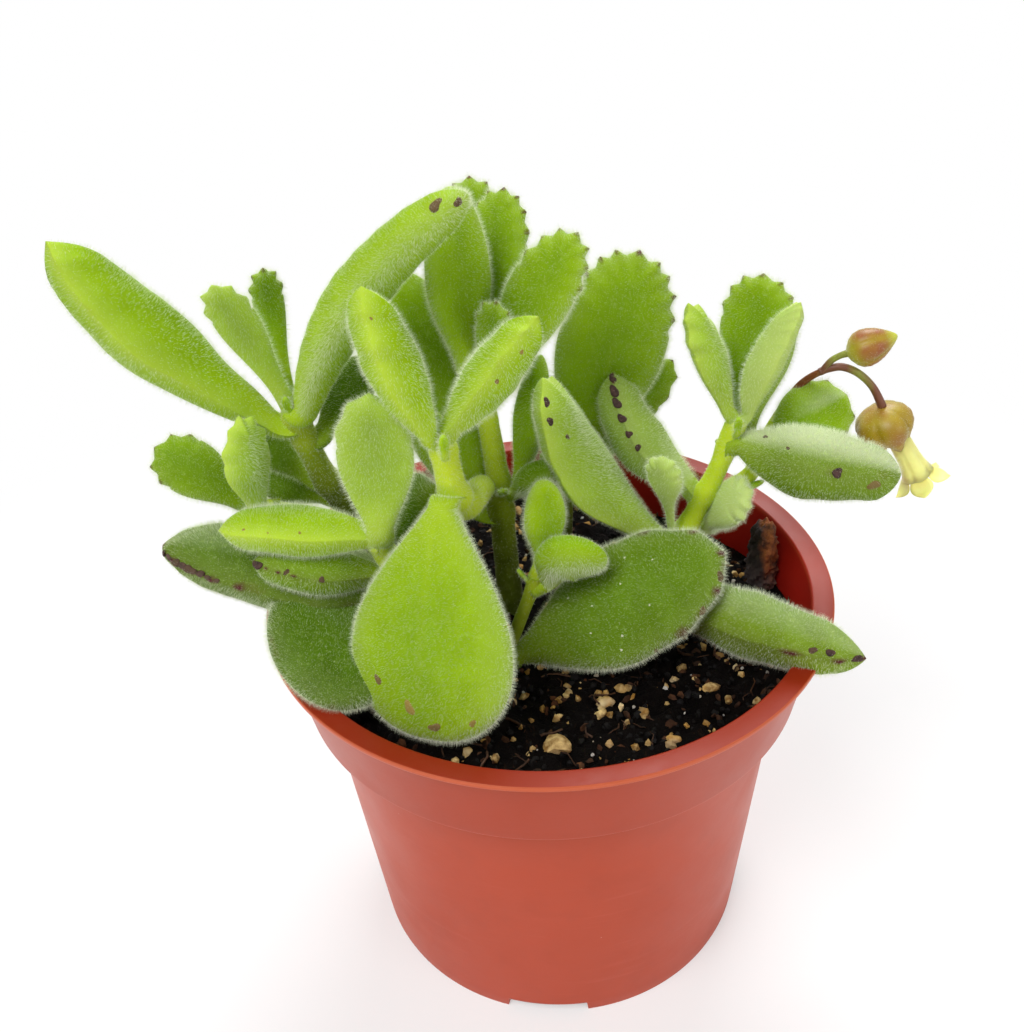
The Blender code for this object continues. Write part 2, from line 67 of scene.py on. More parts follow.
# ---------------------------------------------------------------- stems
# Each point is x, y, z and the stem's radius there. A z of 0 starts just under the soil's surface.
STEMS = {
    "main_stem": (
        (-6, 2, 0, 2.2), (-6.5, 3, 70, 2.0), (-7, 4, 84, 1.8), (-8, 4.5, 95, 1.6), (-8.5, 5, 103, 1.4),
    ),
    "front_branch": (
        (-9.3, 0.8, 84.5, 2.0), (-11.5, -7, 87, 2.2), (-12.5, -11.5, 91, 2.1), (-13, -13.5, 97, 1.9),
        (-13.4, -14, 102, 1.5),
    ),
    "left_branch": (
        (-11, 5, 0, 2.2), (-20.5, 4, 68, 2.2), (-29, 2, 80, 2.1), (-33, 0, 88, 1.9), (-35.5, -2, 100, 1.7),
    ),
    "front_left_branch": ((-13, -4, 0, 1.9), (-18, -7, 68, 1.8), (-22, -10, 77, 1.7), (-24.2, -12, 84, 1.5)),
    "left_shoot": ((-31.5, 0, 79, 1.2), (-37, -2, 83, 1.1), (-43, -4, 86, 1.0)),
    "right_branch": (
        (17, 4, 0, 2.0), (21.5, 3, 71, 2.0), (24.2, 3.5, 77, 1.6), (27.3, 4.2, 84, 1.5), (30, 5, 92, 1.4),
    ),
    "flower_stem": (
        (24.5, 7.5, 72, 1.3), (28.8, 7.5, 77, 1.3), (33.5, 8.8, 80, 1.3), (36, 9.5, 87, 1.0),
        (40, 10, 94.5, 0.6), (43.6, 10, 97.2, 0.5),
    ),
    "back_branch": ((2, 9, 0, 1.8), (3, 11, 70, 1.7), (3.5, 12, 82, 1.5)),
    "rim_shoot": ((-13, -19, 0, 1.6), (-13.5, -19, 62.5, 1.6), (-14, -19, 66, 1.5)),
    "ground_shoot": ((12, -4, 0, 1.6), (12.8, -4.8, 65, 1.6), (13, -5, 69.5, 1.4)),
    "centre_shoot": ((-7.5, -11, 0, 1.1), (-4, -10, 68, 1.0), (-1.2, -9, 75, 1.0)),
}

# ---------------------------------------------------------------- leaf outlines
# widest: where along the blade it is widest; waist: how long it stays narrow above its stalk;
# taper: how pointed the end is; teeth: teeth along the end; tooth: their length; edge: 1 round, 2 keen;
# fur: how furry its skin is.
PLAIN_OUTLINE = dict(teeth=0, tooth=0.0, edge=1.0, fur=1.0)
OUTLINES = {
    "drop": dict(widest=0.64, waist=1.1, taper=0.85, edge=0.9),
    "oval": dict(widest=0.50, waist=1.6, taper=1.0),
    "lance": dict(widest=0.50, waist=1.8, taper=1.3),
    "paw": dict(widest=0.62, waist=1.6, taper=0.8, teeth=7, tooth=0.9),
    "fan": dict(widest=0.56, waist=1.2, taper=0.75, teeth=9, tooth=1.3, edge=0.9),
    "broad": dict(widest=0.50, waist=1.2, taper=1.0, teeth=5, tooth=0.6),
    "cup": dict(widest=0.62, waist=1.2, taper=0.65, teeth=5, tooth=0.5, edge=0.9),
    "slab": dict(widest=0.50, waist=0.9, taper=1.0),
    "ridged": dict(widest=0.46, waist=1.3, taper=1.3, edge=1.35, fur=1.2),
    "claw": dict(widest=0.54, waist=1.6, taper=1.1, teeth=5, tooth=0.9, edge=1.8),
    "clawed": dict(widest=0.5, waist=1.6, taper=1.0, teeth=11, tooth=0.35, edge=2.0),
    "keel": dict(widest=0.50, waist=1.6, taper=1.0, teeth=9, tooth=0.25, edge=2.0),
    "long": dict(widest=0.60, waist=2.2, taper=1.1, teeth=5, tooth=0.5, edge=2.2, fur=0.6),
    "blunt": dict(widest=0.38, waist=1.4, taper=0.85, teeth=11, tooth=0.2, edge=1.7),
    "young": dict(widest=0.66, waist=2.0, taper=0.75, teeth=5, tooth=0.8),
    "stalked": dict(widest=0.76, waist=9.0, taper=0.75, teeth=5, tooth=0.6),
}

# ---------------------------------------------------------------- leaves
# name: stem, height on it, azimuth, rise, length, width, thickness, roll, bow, outline,
# age, top fuzz and light, pale, young
# roll turns the blade about its length; bow arches it towards its upper face; age is 0 fresh to 1 old;
# top fuzz and light is how much pale fuzz and painted highlight lie on the upper side;
# pale is how much lighter the whole skin is painted: partly paler fuzz, partly painted light
# on leaves that lie in shade;
# young is 1 for a leaf with the lighter skin of the youngest ones.
LEAVES = {
    "left_leaf_long": ("left_branch", 99.5, 187, 51, 37, 13, 11, -4, -1.5, "long", 0.2, 0.45, 0, 0),
    "left_leaf_young_front": ("left_branch", 104, 235, 67, 20.5, 6, 2, 47, 1.5, "young", 0.05, 0.4, 0.15, 0),
    "left_leaf_young_back": ("left_branch", 105, 118, 86, 16, 4.5, 2, -11, -4, "young", 0.3, 0, 0, 0),
    "left_leaf_arched": ("left_branch", 101.5, 344, 50, 41.5, 10.6, 7.6, 10, 3.5, "oval", 0.25, 0, 0, 1),
    "left_leaf_inner": ("left_branch", 96.5, 18, 52, 12.5, 9, 3, 30, 0, "oval", 0.95, 0, 0, 0),
    "left_leaf_back": ("left_branch", 88, 161, 37, 12, 7, 3, -30, 0, "young", 0.8, 0, 0, 0),
    "left_leaf_low": ("left_branch", 83.5, 164, 16, 12, 7, 4, -30, 0, "oval", 0.8, 0, 0, 0),
    "front_left_leaf_upright": (
        "front_left_branch", 87.5, 296, 81, 23, 10.5, 3, -25, 1.5, "broad", 0.1, 0, 0.15, 0,
    ),
    "front_left_leaf_bright": ("front_left_branch", 85, 189, 12, 21, 10, 7.6, 16, 0.5, "keel", 0.1, 0, 0, 1),
    "front_left_leaf_under": (
        "front_left_branch", 77.5, 196, 21, 18.5, 7.5, 7.2, 14, -0.5, "keel", 0.65, 0, 0, 0,
    ),
    "front_left_leaf_long": (
        "front_left_branch", 71.5, 180, 17.5, 36, 15.5, 14, 2, 0, "blunt", 0.95, 0.35, 0, 0,
    ),
    "front_left_leaf_rim": ("rim_shoot", 66.5, 171, 21, 27, 26, 7, -7, -2, "oval", 1, 0.05, 0, 0),
    "shoot_leaf_toothed": ("left_shoot", 86.5, 179, 41, 15, 8.5, 3, -50, 1.5, "young", 0.6, 0, 0, 0),
    "shoot_leaf_oval": ("left_shoot", 87.5, 288, 83, 15.5, 8, 4.4, 29, 0, "claw", 0.0, 0.25, 0.15, 1),
    "front_leaf_left": ("front_branch", 103, 218, 73, 23.5, 6.5, 8.2, -51, -0.5, "claw", 0.1, 0.15, 0, 1),
    "front_leaf_right": ("front_branch", 104, 337, 53, 21, 7.5, 6.8, 0, 0, "claw", 0.2, 0.2, 0, 1),
    "front_leaf_hanging": ("front_branch", 92, 254, -62, 32.5, 26, 5.8, 13, 1, "drop", 0.32, 0, 0, 1),
    "front_leaf_behind": ("front_branch", 88, 150, -37, 15, 13, 4, -40, 0, "oval", 0.95, 0, 0, 0),
    "main_leaf_dark": ("main_stem", 79, 160, 76, 39, 15, 5, -60, 0, "slab", 0.35, 0, 0, 0),
    "crown_leaf_tall": ("main_stem", 104, 225, 88, 26.5, 10, 4, -105, 0, "oval", 0.1, 0, 0, 0),
    "crown_leaf_back": ("main_stem", 101, 92, 66, 27.5, 10, 4, 0, 0, "paw", 0.4, 0, 0, 0),
    "crown_leaf_middle": ("main_stem", 104.5, 55, 74, 23, 10.5, 3, 0, 0, "paw", 0.35, 0, 0, 0),
    "crown_leaf_right": ("main_stem", 102.5, 342, 62, 24, 9.5, 4.4, 82, 2.5, "paw", 0.3, 0, 0, 0),
    "crown_leaf_small": ("main_stem", 101, 290, 68, 16.5, 5.5, 2, 140, 0, "young", 0.3, 0, 0, 0),
    "main_leaf_narrow": ("main_stem", 84, 12, 79, 20.5, 6, 3.5, 40, 0, "lance", 0.3, 0, 0, 0),
    "back_leaf_broad": ("back_branch", 83, 34, 67, 32.5, 17.5, 4.8, 57, 0, "fan", 0.35, 0, 0, 0),
    "back_leaf_low": ("back_branch", 77, 41, 31, 26.5, 7.5, 3, 55, 0, "young", 0.4, 0, 0, 0),
    "right_leaf_clawed_front": (
        "right_branch", 72.5, 187, 60, 34.5, 14, 7.8, -30, -3.5, "claw", 0.1, 0, 0.15, 0,
    ),
    "right_leaf_clawed_back": (
        "right_branch", 80.5, 148, 51, 21, 8.5, 8.8, 24, -2.5, "clawed", 0.5, 0.9, 0.25, 0,
    ),
    "right_leaf_fork_left": ("right_branch", 94.5, 194, 69, 18.5, 6, 5.2, -56, 0, "claw", 0.15, 0.5, 0.15, 1),
    "right_leaf_fork_right": ("right_branch", 93.5, 334, 72, 19.5, 4.5, 6.8, 49, 1, "keel", 0.1, 0.8, 0.5, 1),
    "right_leaf_furry": ("right_branch", 88.5, 333, 0, 23.5, 10, 10.8, -25, -1, "ridged", 0.7, 0.9, 0, 0),
    "right_leaf_stalked": ("right_branch", 73, 226, 78, 17, 5.6, 3, 11, 0.5, "stalked", 0.05, 0.4, 0.5, 1),
    "right_leaf_back": ("right_branch", 90, 51, 84, 23, 12, 3.6, 3, 0, "paw", 0.3, 0, 0, 0),
    "flower_leaf_toothed": ("flower_stem", 84, 358, 44, 13, 11, 2.6, 49, 4, "cup", 0.35, 0.4, 0, 0),
    "flower_leaf_young": ("flower_stem", 73, 304, 53, 12.5, 7.4, 3.4, 65, 1, "young", 0, 0.5, 0.8, 1),
    "ground_leaf_broad": ("centre_shoot", 61, 356, 33, 35, 19, 5.4, 36, -0.5, "broad", 0.85, 0, 0, 0),
    "ground_leaf_right": ("ground_shoot", 69, 324, 4, 35, 7, 11.8, -1, -0.5, "claw", 0.6, 0.3, 0, 0),
    "centre_leaf_back": ("main_stem", 82.5, 337, 36, 8.5, 5.5, 4.8, 15, 0.5, "oval", 0.6, 0, 0, 0),
    "centre_leaf_upright": ("centre_shoot", 76.5, 70, 83, 13, 6.5, 3.2, 40, 0.5, "oval", 0, 0, 0, 1),
    "centre_leaf_side": ("centre_shoot", 73.5, 346, 27, 9.5, 5.5, 8, 6, 3.5, "oval", 0.3, 0, 0, 1),
}

# Heights where hair starts, over how much it thickens, and where the flower's stem loses it and reddens.
HAIRY_FROM, HAIRY_OVER, BALD_FROM, RUDDY_FROM = 66, 22, 90, 89
# How far along its life a stem's bark is: 0 fresh, 1 woody.
STEM_AGE = {
    "main_stem": 0.6, "front_branch": 0.0, "left_branch": 1.0, "front_left_branch": 0.05, "left_shoot": 0.3,
    "right_branch": 0.0, "flower_stem": 0.2, "back_branch": 0.5, "rim_shoot": 0.6, "ground_shoot": 0.6,
    "centre_shoot": 0.25,
}

# Buds and first leaves in the forks.
# name: stem, height on it, azimuth, rise, length, width, thickness, outline, age
SPROUTS = {
    "left_sprout_front": ("left_branch", 101, 262, 68, 3.4, 1.4, 1.1, "oval", 0.1),
    "left_sprout_back": ("left_branch", 101, 80, 75, 3.1, 1.4, 1, "oval", 0.1),
    "front_left_sprout": ("front_left_branch", 82, 150, 72, 3.7, 1.7, 1, "lance", 0.1),
    "front_left_sprout_low": ("front_left_branch", 82, 330, 60, 3.1, 1.6, 1, "lance", 0.1),
    "front_sprout": ("front_branch", 101, 280, 82, 3.1, 1.4, 1, "oval", 0.0),
    "front_sprout_back": ("front_branch", 101, 100, 80, 3.1, 1.4, 1, "oval", 0.0),
    "crown_sprout": ("main_stem", 102, 200, 75, 3.4, 1.7, 1, "oval", 0.2),
    "right_sprout": ("right_branch", 91.5, 265, 78, 2.7, 1.3, 1, "oval", 0.0),
    "right_sprout_back": ("right_branch", 91.5, 90, 80, 2.7, 1.3, 1, "oval", 0.0),
    "flower_sprout": ("flower_stem", 78, 345, 35, 3.1, 1.4, 1, "lance", 0.1),
    "centre_sprout": ("centre_shoot", 74.5, 190, 60, 2, 1.2, 0.8, "oval", 0.1),
    "main_sprout": ("main_stem", 83, 280, 40, 3.1, 1.7, 1, "lance", 0.2),
    "back_sprout": ("back_branch", 81, 215, 70, 4.1, 2.2, 1.2, "oval", 0.3),
}

# Corky scars and dark spots: share of the blade's length, angle round it from its upper face,
# radius, shade (0 purple black, 1 ochre, 2 a white speck).
SCARS = {
    "left_leaf_arched": ((0.78, -60, 1.1, 0.25), (0.80, -88, 0.8, 0.15)),
    "front_left_leaf_bright": ((0.72, 60, 0.35, 0.9), (0.62, 65, 0.3, 0.9), (0.48, 60, 0.25, 1.0)),
    "front_left_leaf_under": ((0.80, 85, 1.0, 0.0), (0.67, 70, 0.7, 0.1), (0.50, 80, 0.6, 0.1)),
    "front_left_leaf_long": (
        (0.755, 88, 0.8, 0.0), (0.74, 90, 1.0, 0.05), (0.72, 86, 1.0, 0.1), (0.70, 89, 1.0, 0.05),
        (0.685, 87, 1.0, 0.1), (0.67, 90, 0.9, 0.1), (0.65, 88, 0.9, 0.05), (0.63, 91, 0.7, 0.1),
        (0.605, 89, 0.6, 0.1),
    ),
    "front_left_leaf_rim": ((0.81, 75, 0.8, 0.2), (0.76, 30, 0.9, 0.15)),
    "front_leaf_left": ((0.76, 65, 0.35, 0.8),),
    "front_leaf_right": ((0.58, -125, 0.4, 0.6), (0.74, -130, 0.4, 0.9)),
    "front_leaf_hanging": (
        (0.73, -35, 0.9, 0.4), (0.83, -10, 1.4, 1.0), (0.85, 30, 1.2, 0.5), (0.79, 55, 0.8, 0.9),
    ),
    "right_leaf_clawed_front": ((0.80, 65, 0.9, 0.0), (0.76, 60, 0.9, 0.0), (0.71, 35, 0.6, 0.1)),
    "right_leaf_clawed_back": (
        (0.80, 80, 1.0, 0.0), (0.75, 80, 1.1, 0.0), (0.70, 80, 1.0, 0.0), (0.63, 78, 0.9, 0.0),
        (0.55, 78, 0.8, 0.0), (0.46, 78, 0.7, 0.0),
    ),
    "right_leaf_furry": (
        (0.14, -40, 0.4, 0.1), (0.32, -60, 0.4, 0.1), (0.58, -88, 1.0, 0.0), (0.72, -115, 1.1, 0.5),
    ),
    "ground_leaf_right": ((0.72, -70, 0.8, 0.1), (0.77, -65, 0.9, 0.0), (0.82, -100, 1.0, 0.0)),
    "ground_leaf_broad": (
        (0.79, -78, 0.9, 0.2), (0.71, -80, 0.9, 0.3), (0.64, -84, 0.7, 0.2), (0.55, -83, 0.5, 0.3),
        (0.62, -20, 0.22, 2), (0.55, 12, 0.2, 2), (0.48, -35, 0.25, 2), (0.40, 5, 0.2, 2),
        (0.58, 38, 0.22, 2), (0.35, -20, 0.2, 2), (0.68, 25, 0.2, 2), (0.45, -50, 0.25, 2),
        (0.72, -55, 0.3, 2), (0.30, 30, 0.2, 2),
    ),
    "left_leaf_long": ((0.84, -75, 0.6, 0.15),),
}

# ---------------------------------------------------------------- flower
# Each solid runs from a start to an end point; its profile is (share of the way, radius).
BUD = ((46.6, 9, 100.2), (53.4, 8, 103.4))
BUD_PROFILE = (
    (0, 0.5), (0.04, 1.2), (0.12, 2.1), (0.22, 2.7), (0.35, 2.95), (0.5, 2.8), (0.65, 2.35), (0.78, 1.7),
    (0.9, 1.0), (0.97, 0.5), (1, 0.15),
)
CALYX = ((51.8, 8, 91.2), (55.2, 8, 85.0))
CALYX_PROFILE = (
    (0, 0.6), (0.04, 1.7), (0.12, 3.0), (0.25, 4.1), (0.42, 4.6), (0.58, 4.5), (0.72, 4.0), (0.85, 3.2),
    (0.97, 2.4), (0.92, 1.9), (0.8, 1.8),
)
COROLLA = ((55.4, 8, 86.6), (61.4, 7, 76.6))
COROLLA_PROFILE = (
    (0, 1.6), (0.2, 1.8), (0.42, 1.9), (0.58, 2.15), (0.72, 2.6), (0.70, 2.3), (0.5, 1.7), (0.3, 1.3),
    (0.1, 0.8),
)
STAMENS = 6
FLOWER_STALKS = {
    "bud_stalk": (
        (43.2, 9.9, 96.8, 0.5), (44.5, 9.9, 98.7, 0.5), (45.8, 9.5, 99.8, 0.5), (47.0, 9.0, 100.4, 0.6),
    ),
    "calyx_stalk": (
        (43.0, 10, 96.9, 0.6), (44.3, 10, 97.4, 0.6), (46.3, 9.6, 97.8, 0.6), (48.7, 9, 96.9, 0.6),
        (51.0, 8.5, 94.7, 0.6), (52.7, 8.0, 91.6, 0.7),
    ),
}
STUB = ((36.5, 9, 0, 2.4), (36.6, 9, 62, 2.4), (36.6, 9.5, 68.5, 2.1))
STUB_MIDDLE = (36.6, 9.2, 0)
STUB_BREAK = 66.5

# ---------------------------------------------------------------- grit
# Stones lying on the soil: x, y, size, height as a share of the size.
STONES = (
    (0.5, -30.5, 3.6, 0.6), (-6.0, -37.5, 2.3, 0.7), (-3.0, -38.0, 1.9, 0.7), (8.0, -22.0, 2.4, 0.6),
    (13.5, -24.0, 1.5, 0.8), (24.0, -20.0, 2.2, 0.7), (26.0, -22.5, 1.5, 0.7), (10.5, -19.0, 1.6, 0.6),
    (7.0, -24.5, 1.7, 0.7), (30.0, 1.0, 3.4, 0.6), (33.5, 3.0, 2.6, 0.6), (-14.0, -33.0, 1.6, 0.7),
    (17.0, -30.0, 1.8, 0.6), (2.5, -20.0, 1.5, 0.6), (20.0, 20.0, 2.6, 0.6), (-20.0, 24.0, 2.4, 0.7),
    (-5.0, 32.0, 2.2, 0.6), (10.0, 30.0, 1.9, 0.7), (-30.0, 12.0, 2.1, 0.6), (15.0, -35.0, 1.6, 0.7),
)


# ---------------------------------------------------------------- colours that the settings don't hold
TINTS = {
    # Painted light on the next line: the collar tint is painted shade on the collar band, and the collar edge
    # tint a painted highlight line along its lower edge.
    "plastic speck": (0.75, 0.55, 0.45), "collar": (0.38, 0.040, 0.011), "collar edge highlight": (0.80, 0.40, 0.26),
    # Painted shade on the next line: upward-facing plastic and the inside of the wall are darkened.
    "painted top shade": (0.28, 0.018, 0.004), "inner wall shade": (0.30, 0.004, 0.003),
    # Painted highlight on the next line: the first tint is a light line round the rim's outer edge.
    "rim highlight": (0.85, 0.22, 0.09), "soil speck": (0.4, 0.33, 0.25),
    "light bark bit": (0.11, 0.045, 0.018), "dark bark bit": (0.02, 0.010, 0.006),
    "light perlite": (0.72, 0.70, 0.64), "dark perlite": (0.35, 0.32, 0.28),
    "fresh margin": (0.52, 0.70, 0.12), "old margin": (0.22, 0.30, 0.07),
    # Painted light on the next line: the two crest tints are a painted highlight along the ridge, and the
    # skin tint partly paints light onto leaves that lie in shade.
    "fresh crest highlight": (0.60, 0.80, 0.05), "old crest highlight": (0.13, 0.19, 0.02), "pale skin and painted light": (0.62, 0.74, 0.28),
    # Painted highlight on the next line: the first tint lightens leaves' upper sides, partly pale fuzz and
    # partly light from above.
    "bloom": (0.68, 0.74, 0.48), "leaf dirt": (0.05, 0.045, 0.02), "leaf dust": (0.8, 0.85, 0.7),
    "ruddy stem": (0.20, 0.065, 0.02), "stem hair": (0.62, 0.72, 0.35), "stem dirt": (0.06, 0.04, 0.02),
    "stalk flush": (0.28, 0.32, 0.04), "petal flush": (0.95, 0.72, 0.12), "sepal foot": (0.58, 0.62, 0.06),
    # Partly painted light on the next line: the stub's lighter right side is partly a painted highlight, its
    # black left side partly painted shade.
    "cork in light": (0.40, 0.12, 0.03), "cork crack": (0.05, 0.015, 0.006), "black bark in shade": (0.05, 0.03, 0.025),
    "black crack": (0.008, 0.006, 0.005), "bark foot": (0.10, 0.075, 0.08),
    "ochre scar": (0.34, 0.24, 0.05), "white speck": (0.75, 0.76, 0.62),
}
# Where one look gives way to another, in metres: from, to.
INNER_SHADE_BAND = (0.0675, 0.0662)
STEM_GREENING = (0.058, 0.080)
BARK_LIT_EDGE = (0.0372, 0.0382)
BARK_FOOT = (0.063, 0.059)


# ---------------------------------------------------------------- settings
def length(name, description, default):
    return bpy.props.FloatProperty(
        name=name, description=description, default=default, min=0.0, unit="LENGTH", precision=5
    )


def colour(name, description, default):
    return bpy.props.FloatVectorProperty(
        name=name, description=description, default=default, min=0.0, max=1.0, size=3, subtype="COLOR"
    )


def share(name, description, default):
    return bpy.props.FloatProperty(
        name=name, description=description, default=default, min=0.0, max=1.0, subtype="FACTOR"
    )


def angle(name, description, degrees):
    return bpy.props.FloatProperty(
        name=name, description=description, default=math.radians(degrees), subtype="ANGLE"
    )


def count(name, description, default):
    return bpy.props.IntProperty(name=name, description=description, default=default, min=0)


class PotSettings(bpy.types.PropertyGroup):
    rim_width: length("Rim width", "Width of the rim's flat top", 0.0034)
    lip_depth: length("Lip depth", "Height of the rim's outer edge", 0.0009)
    collar_depth: length("Collar depth", "Height of the wider band under the rim", 0.0148)
    collar_top: length("Collar top radius", "Outside radius of the collar under the rim", 0.0434)
    collar_foot: length("Collar foot radius", "Outside radius at the collar's lower edge", 0.0408)
    wall_top: length("Wall top radius", "Outside radius where the wall meets the collar", 0.0379)
    foot: length("Foot radius", "Outside radius the pot stands on", 0.0333)
    wall: length("Wall thickness", "Thickness of the plastic", 0.0011)
    floor_height: length("Floor height", "Clearance under the pot's floor", 0.0024)
    floor_thickness: length("Floor thickness", "Thickness of the pot's floor", 0.0013)
    notch_width: length("Notch width", "Width of each drain notch in the foot", 0.0135)
    notches: count("Notches", "Drain notches round the foot", 4)
    drains: count("Drain holes", "Round holes through the floor", 6)
    drain_radius: length("Drain hole radius", "Radius of each round hole", 0.003)
    plastic: colour("Plastic", "Colour of the moulded plastic", (0.53, 0.078, 0.034))
    dust: colour("Dust", "Colour of the dust on the rim", (0.50, 0.22, 0.14))


class SoilSettings(bpy.types.PropertyGroup):
    level: length("Level", "Height of the soil's surface", 0.060)
    fall: length("Fall", "How much lower the soil lies on its low side", 0.005)
    low_side: angle("Low side", "Azimuth of the low side", 50)
    roughness: length("Roughness", "Depth of the lumps in the surface", 0.0007)
    crumbs: count("Crumbs", "Peat crumbs per square centimetre", 34)
    grains: count("Grains", "Grit grains per square metre, in thousands", 95)
    fibres: count("Fibres", "Peat fibres per square metre, in thousands", 26)
    peat: colour("Peat", "Colour of the damp peat", (0.0030, 0.0020, 0.0017))
    grit: colour("Grit", "Colour of the grit stones", (0.80, 0.58, 0.25))
    fibre: colour("Fibre", "Colour of the peat fibres", (0.06, 0.03, 0.016))


class PlantSettings(bpy.types.PropertyGroup):
    fresh: colour("Fresh leaf", "Colour of a fresh leaf", (0.36, 0.58, 0.004))
    old: colour("Old leaf", "Colour of an old leaf", (0.075, 0.15, 0.004))
    stalk_end: colour("Stalk end", "Colour where a leaf joins its stem", (0.46, 0.62, 0.03))
    claw: colour("Claw", "Colour of the tips of old teeth", (0.10, 0.025, 0.03))
    stem_top: colour("Stem, upper", "Colour of the young stems", (0.60, 0.76, 0.03))
    stem_foot: colour("Stem, foot", "Colour of the old stems near the soil", (0.10, 0.13, 0.008))
    scar: colour("Scar", "Colour of the corky spots", (0.045, 0.018, 0.014))
    node_swelling: share("Node swelling", "How much a stem swells where a leaf joins it", 0.22)


class FuzzSettings(bpy.types.PropertyGroup):
    density: count("Density", "Hairs per square millimetre", 18)
    hair_length: length("Hair length", "Length of the longest hairs", 0.0011)
    hair_width: length("Hair width", "Radius of a hair at its root", 0.000016)
    tilt: angle("Tilt", "How far hairs lean", 15)
    tint: colour("Hair", "Colour of the hairs", (0.88, 0.94, 0.70))


class FlowerSettings(bpy.types.PropertyGroup):
    sepal: colour("Sepal", "Colour of the calyx and bud", (0.37, 0.24, 0.004))
    flush: colour("Flush", "Red-brown flush on the sepals", (0.30, 0.085, 0.010))
    petal: colour("Petal", "Colour of the corolla", (1.0, 0.93, 0.27))
    stalk: colour("Stalk", "Colour of the flower stalk", (0.17, 0.055, 0.025))
    lobes: count("Lobes", "Petals and sepals", 5)


class StageSettings(bpy.types.PropertyGroup):
    camera_height: length("Camera height", "Height of the camera", 0.1753)
    camera_distance: length("Camera distance", "How far in front of the pot's middle it stands", 0.1436)
    lens: bpy.props.FloatProperty(name="Lens", description="Focal length", default=38.71, unit="CAMERA")
    floor: colour("Floor", "Colour of the floor", (0.94, 0.94, 0.94))


SETTINGS = {
    "cotyledon_pot": PotSettings,
    "cotyledon_soil": SoilSettings,
    "cotyledon_plant": PlantSettings,
    "cotyledon_fuzz": FuzzSettings,
    "cotyledon_flower": FlowerSettings,
    "cotyledon_stage": StageSettings,
}


# ---------------------------------------------------------------- node trees
def socket(sockets, name):
    """The socket in use that has this name, or this index."""
    if isinstance(name, int):
        return sockets[name]
    return next(found for found in sockets if found.name == name and found.enabled)


class Graph:
    """Adds nodes to a shader or geometry tree, and links them."""

    def __init__(self, tree):
        self.tree = tree

    def link(self, source, target):
        self.tree.links.new(source, target)

    def put(self, value, target):
        """Links a socket, or sets a fixed value. A fixed colour may leave out its alpha."""
        if isinstance(value, bpy.types.NodeSocket):
            self.link(value, target)
        elif target.type == "RGBA" and len(value) == 3:
            target.default_value = (*value, 1.0)
        else:
            target.default_value = value

    def add(self, kind, inputs=(), out=0, **options):
        """Makes a node and returns its output socket out. A value that is a socket is linked."""
        node = self.tree.nodes.new(kind)
        for name, value in options.items():
            setattr(node, name, value)
        for name, value in dict(inputs).items():
            self.put(value, socket(node.inputs, name))
        return socket(node.outputs, out)

    def math(self, operation, *values, clamp=False):
        return self.add("ShaderNodeMath", enumerate(values), operation=operation, use_clamp=clamp)

    def times(self, first, second):
        return self.math("MULTIPLY", first, second)

    def plus(self, first, second):
        return self.math("ADD", first, second)

    def mix(self, amount, first, second):
        """A colour between two colours."""
        return self.add("ShaderNodeMix", {0: amount, 6: first, 7: second}, out=2, data_type="RGBA")

    def layers(self, tint, *rows):
        """A colour with layers over it, each an amount and a colour."""
        for amount, layer in rows:
            tint = self.mix(amount, tint, layer)
        return tint

    def span(self, value, low, high, low_to=0.0, high_to=1.0):
        """Maps low to low_to and high to high_to, and clamps."""
        inputs = {"Value": value, "From Min": low, "From Max": high, "To Min": low_to, "To Max": high_to}
        return self.add("ShaderNodeMapRange", inputs)

    def attribute(self, name):
        """A number that the mesh's points hold."""
        return self.add("ShaderNodeAttribute", out="Fac", attribute_name=name)

    def place(self, stretch=(1, 1, 1)):
        """The piece's own coordinates, stretched."""
        whole = self.add("ShaderNodeTexCoord", out="Object")
        return self.add("ShaderNodeVectorMath", {0: whole, 1: stretch}, operation="MULTIPLY")

    def axis(self, index, vector=None):
        """One coordinate, 0 for x to 2 for z, of a vector or of the place."""
        vector = self.place() if vector is None else vector
        return self.add("ShaderNodeSeparateXYZ", {0: vector}, out=index)

    def normal(self):
        return self.add("ShaderNodeNewGeometry", out="Normal")

    def noise(self, scale, detail=3.0, roughness=0.55, stretch=(1, 1, 1), distortion=0.0):
        """Soft noise whose lumps are about 1 / scale metres."""
        inputs = {
            "Vector": self.place(stretch), "Scale": scale, "Detail": detail, "Roughness": roughness,
            "Distortion": distortion,
        }
        return self.add("ShaderNodeTexNoise", inputs)

    def patches(self, scale, detail, low, high, low_to=0.0, high_to=1.0):
        """Noise mapped from low to high."""
        return self.span(self.noise(scale, detail), low, high, low_to, high_to)

    def random(self, low, high, seed, kind="FLOAT"):
        values = {"Min": low, "Max": high, "Seed": seed}
        return self.add("FunctionNodeRandomValue", values, out="Value", data_type=kind)

    def scattered(self, surface, density, seed):
        """Outputs of a node that scatters points over a surface."""
        node = self.tree.nodes.new("GeometryNodeDistributePointsOnFaces")
        for title, value in (("Mesh", surface), ("Density", density), ("Seed", seed)):
            self.put(value, socket(node.inputs, title))
        return node.outputs

    def group(self, name, **inputs):
        """Outputs of a node that holds one of the shared groups."""
        node = self.tree.nodes.new("ShaderNodeGroup")
        node.node_tree = bpy.data.node_groups[name]
        for title, value in inputs.items():
            self.put(value, node.inputs[title])
        return node.outputs

    def mottled(self, light, deep, scale, contrast):
        return self.group("Mottling", Light=light, Deep=deep, Scale=scale, Contrast=contrast)

    def speckled(self, tint, scale, size, amount, speck, strength=1.0):
        """A colour with specks of another colour over it."""
        mask = self.group("Specks", Scale=scale, Size=size, Amount=amount)["Mask"]
        return self.mix(self.times(mask, strength), tint, speck)


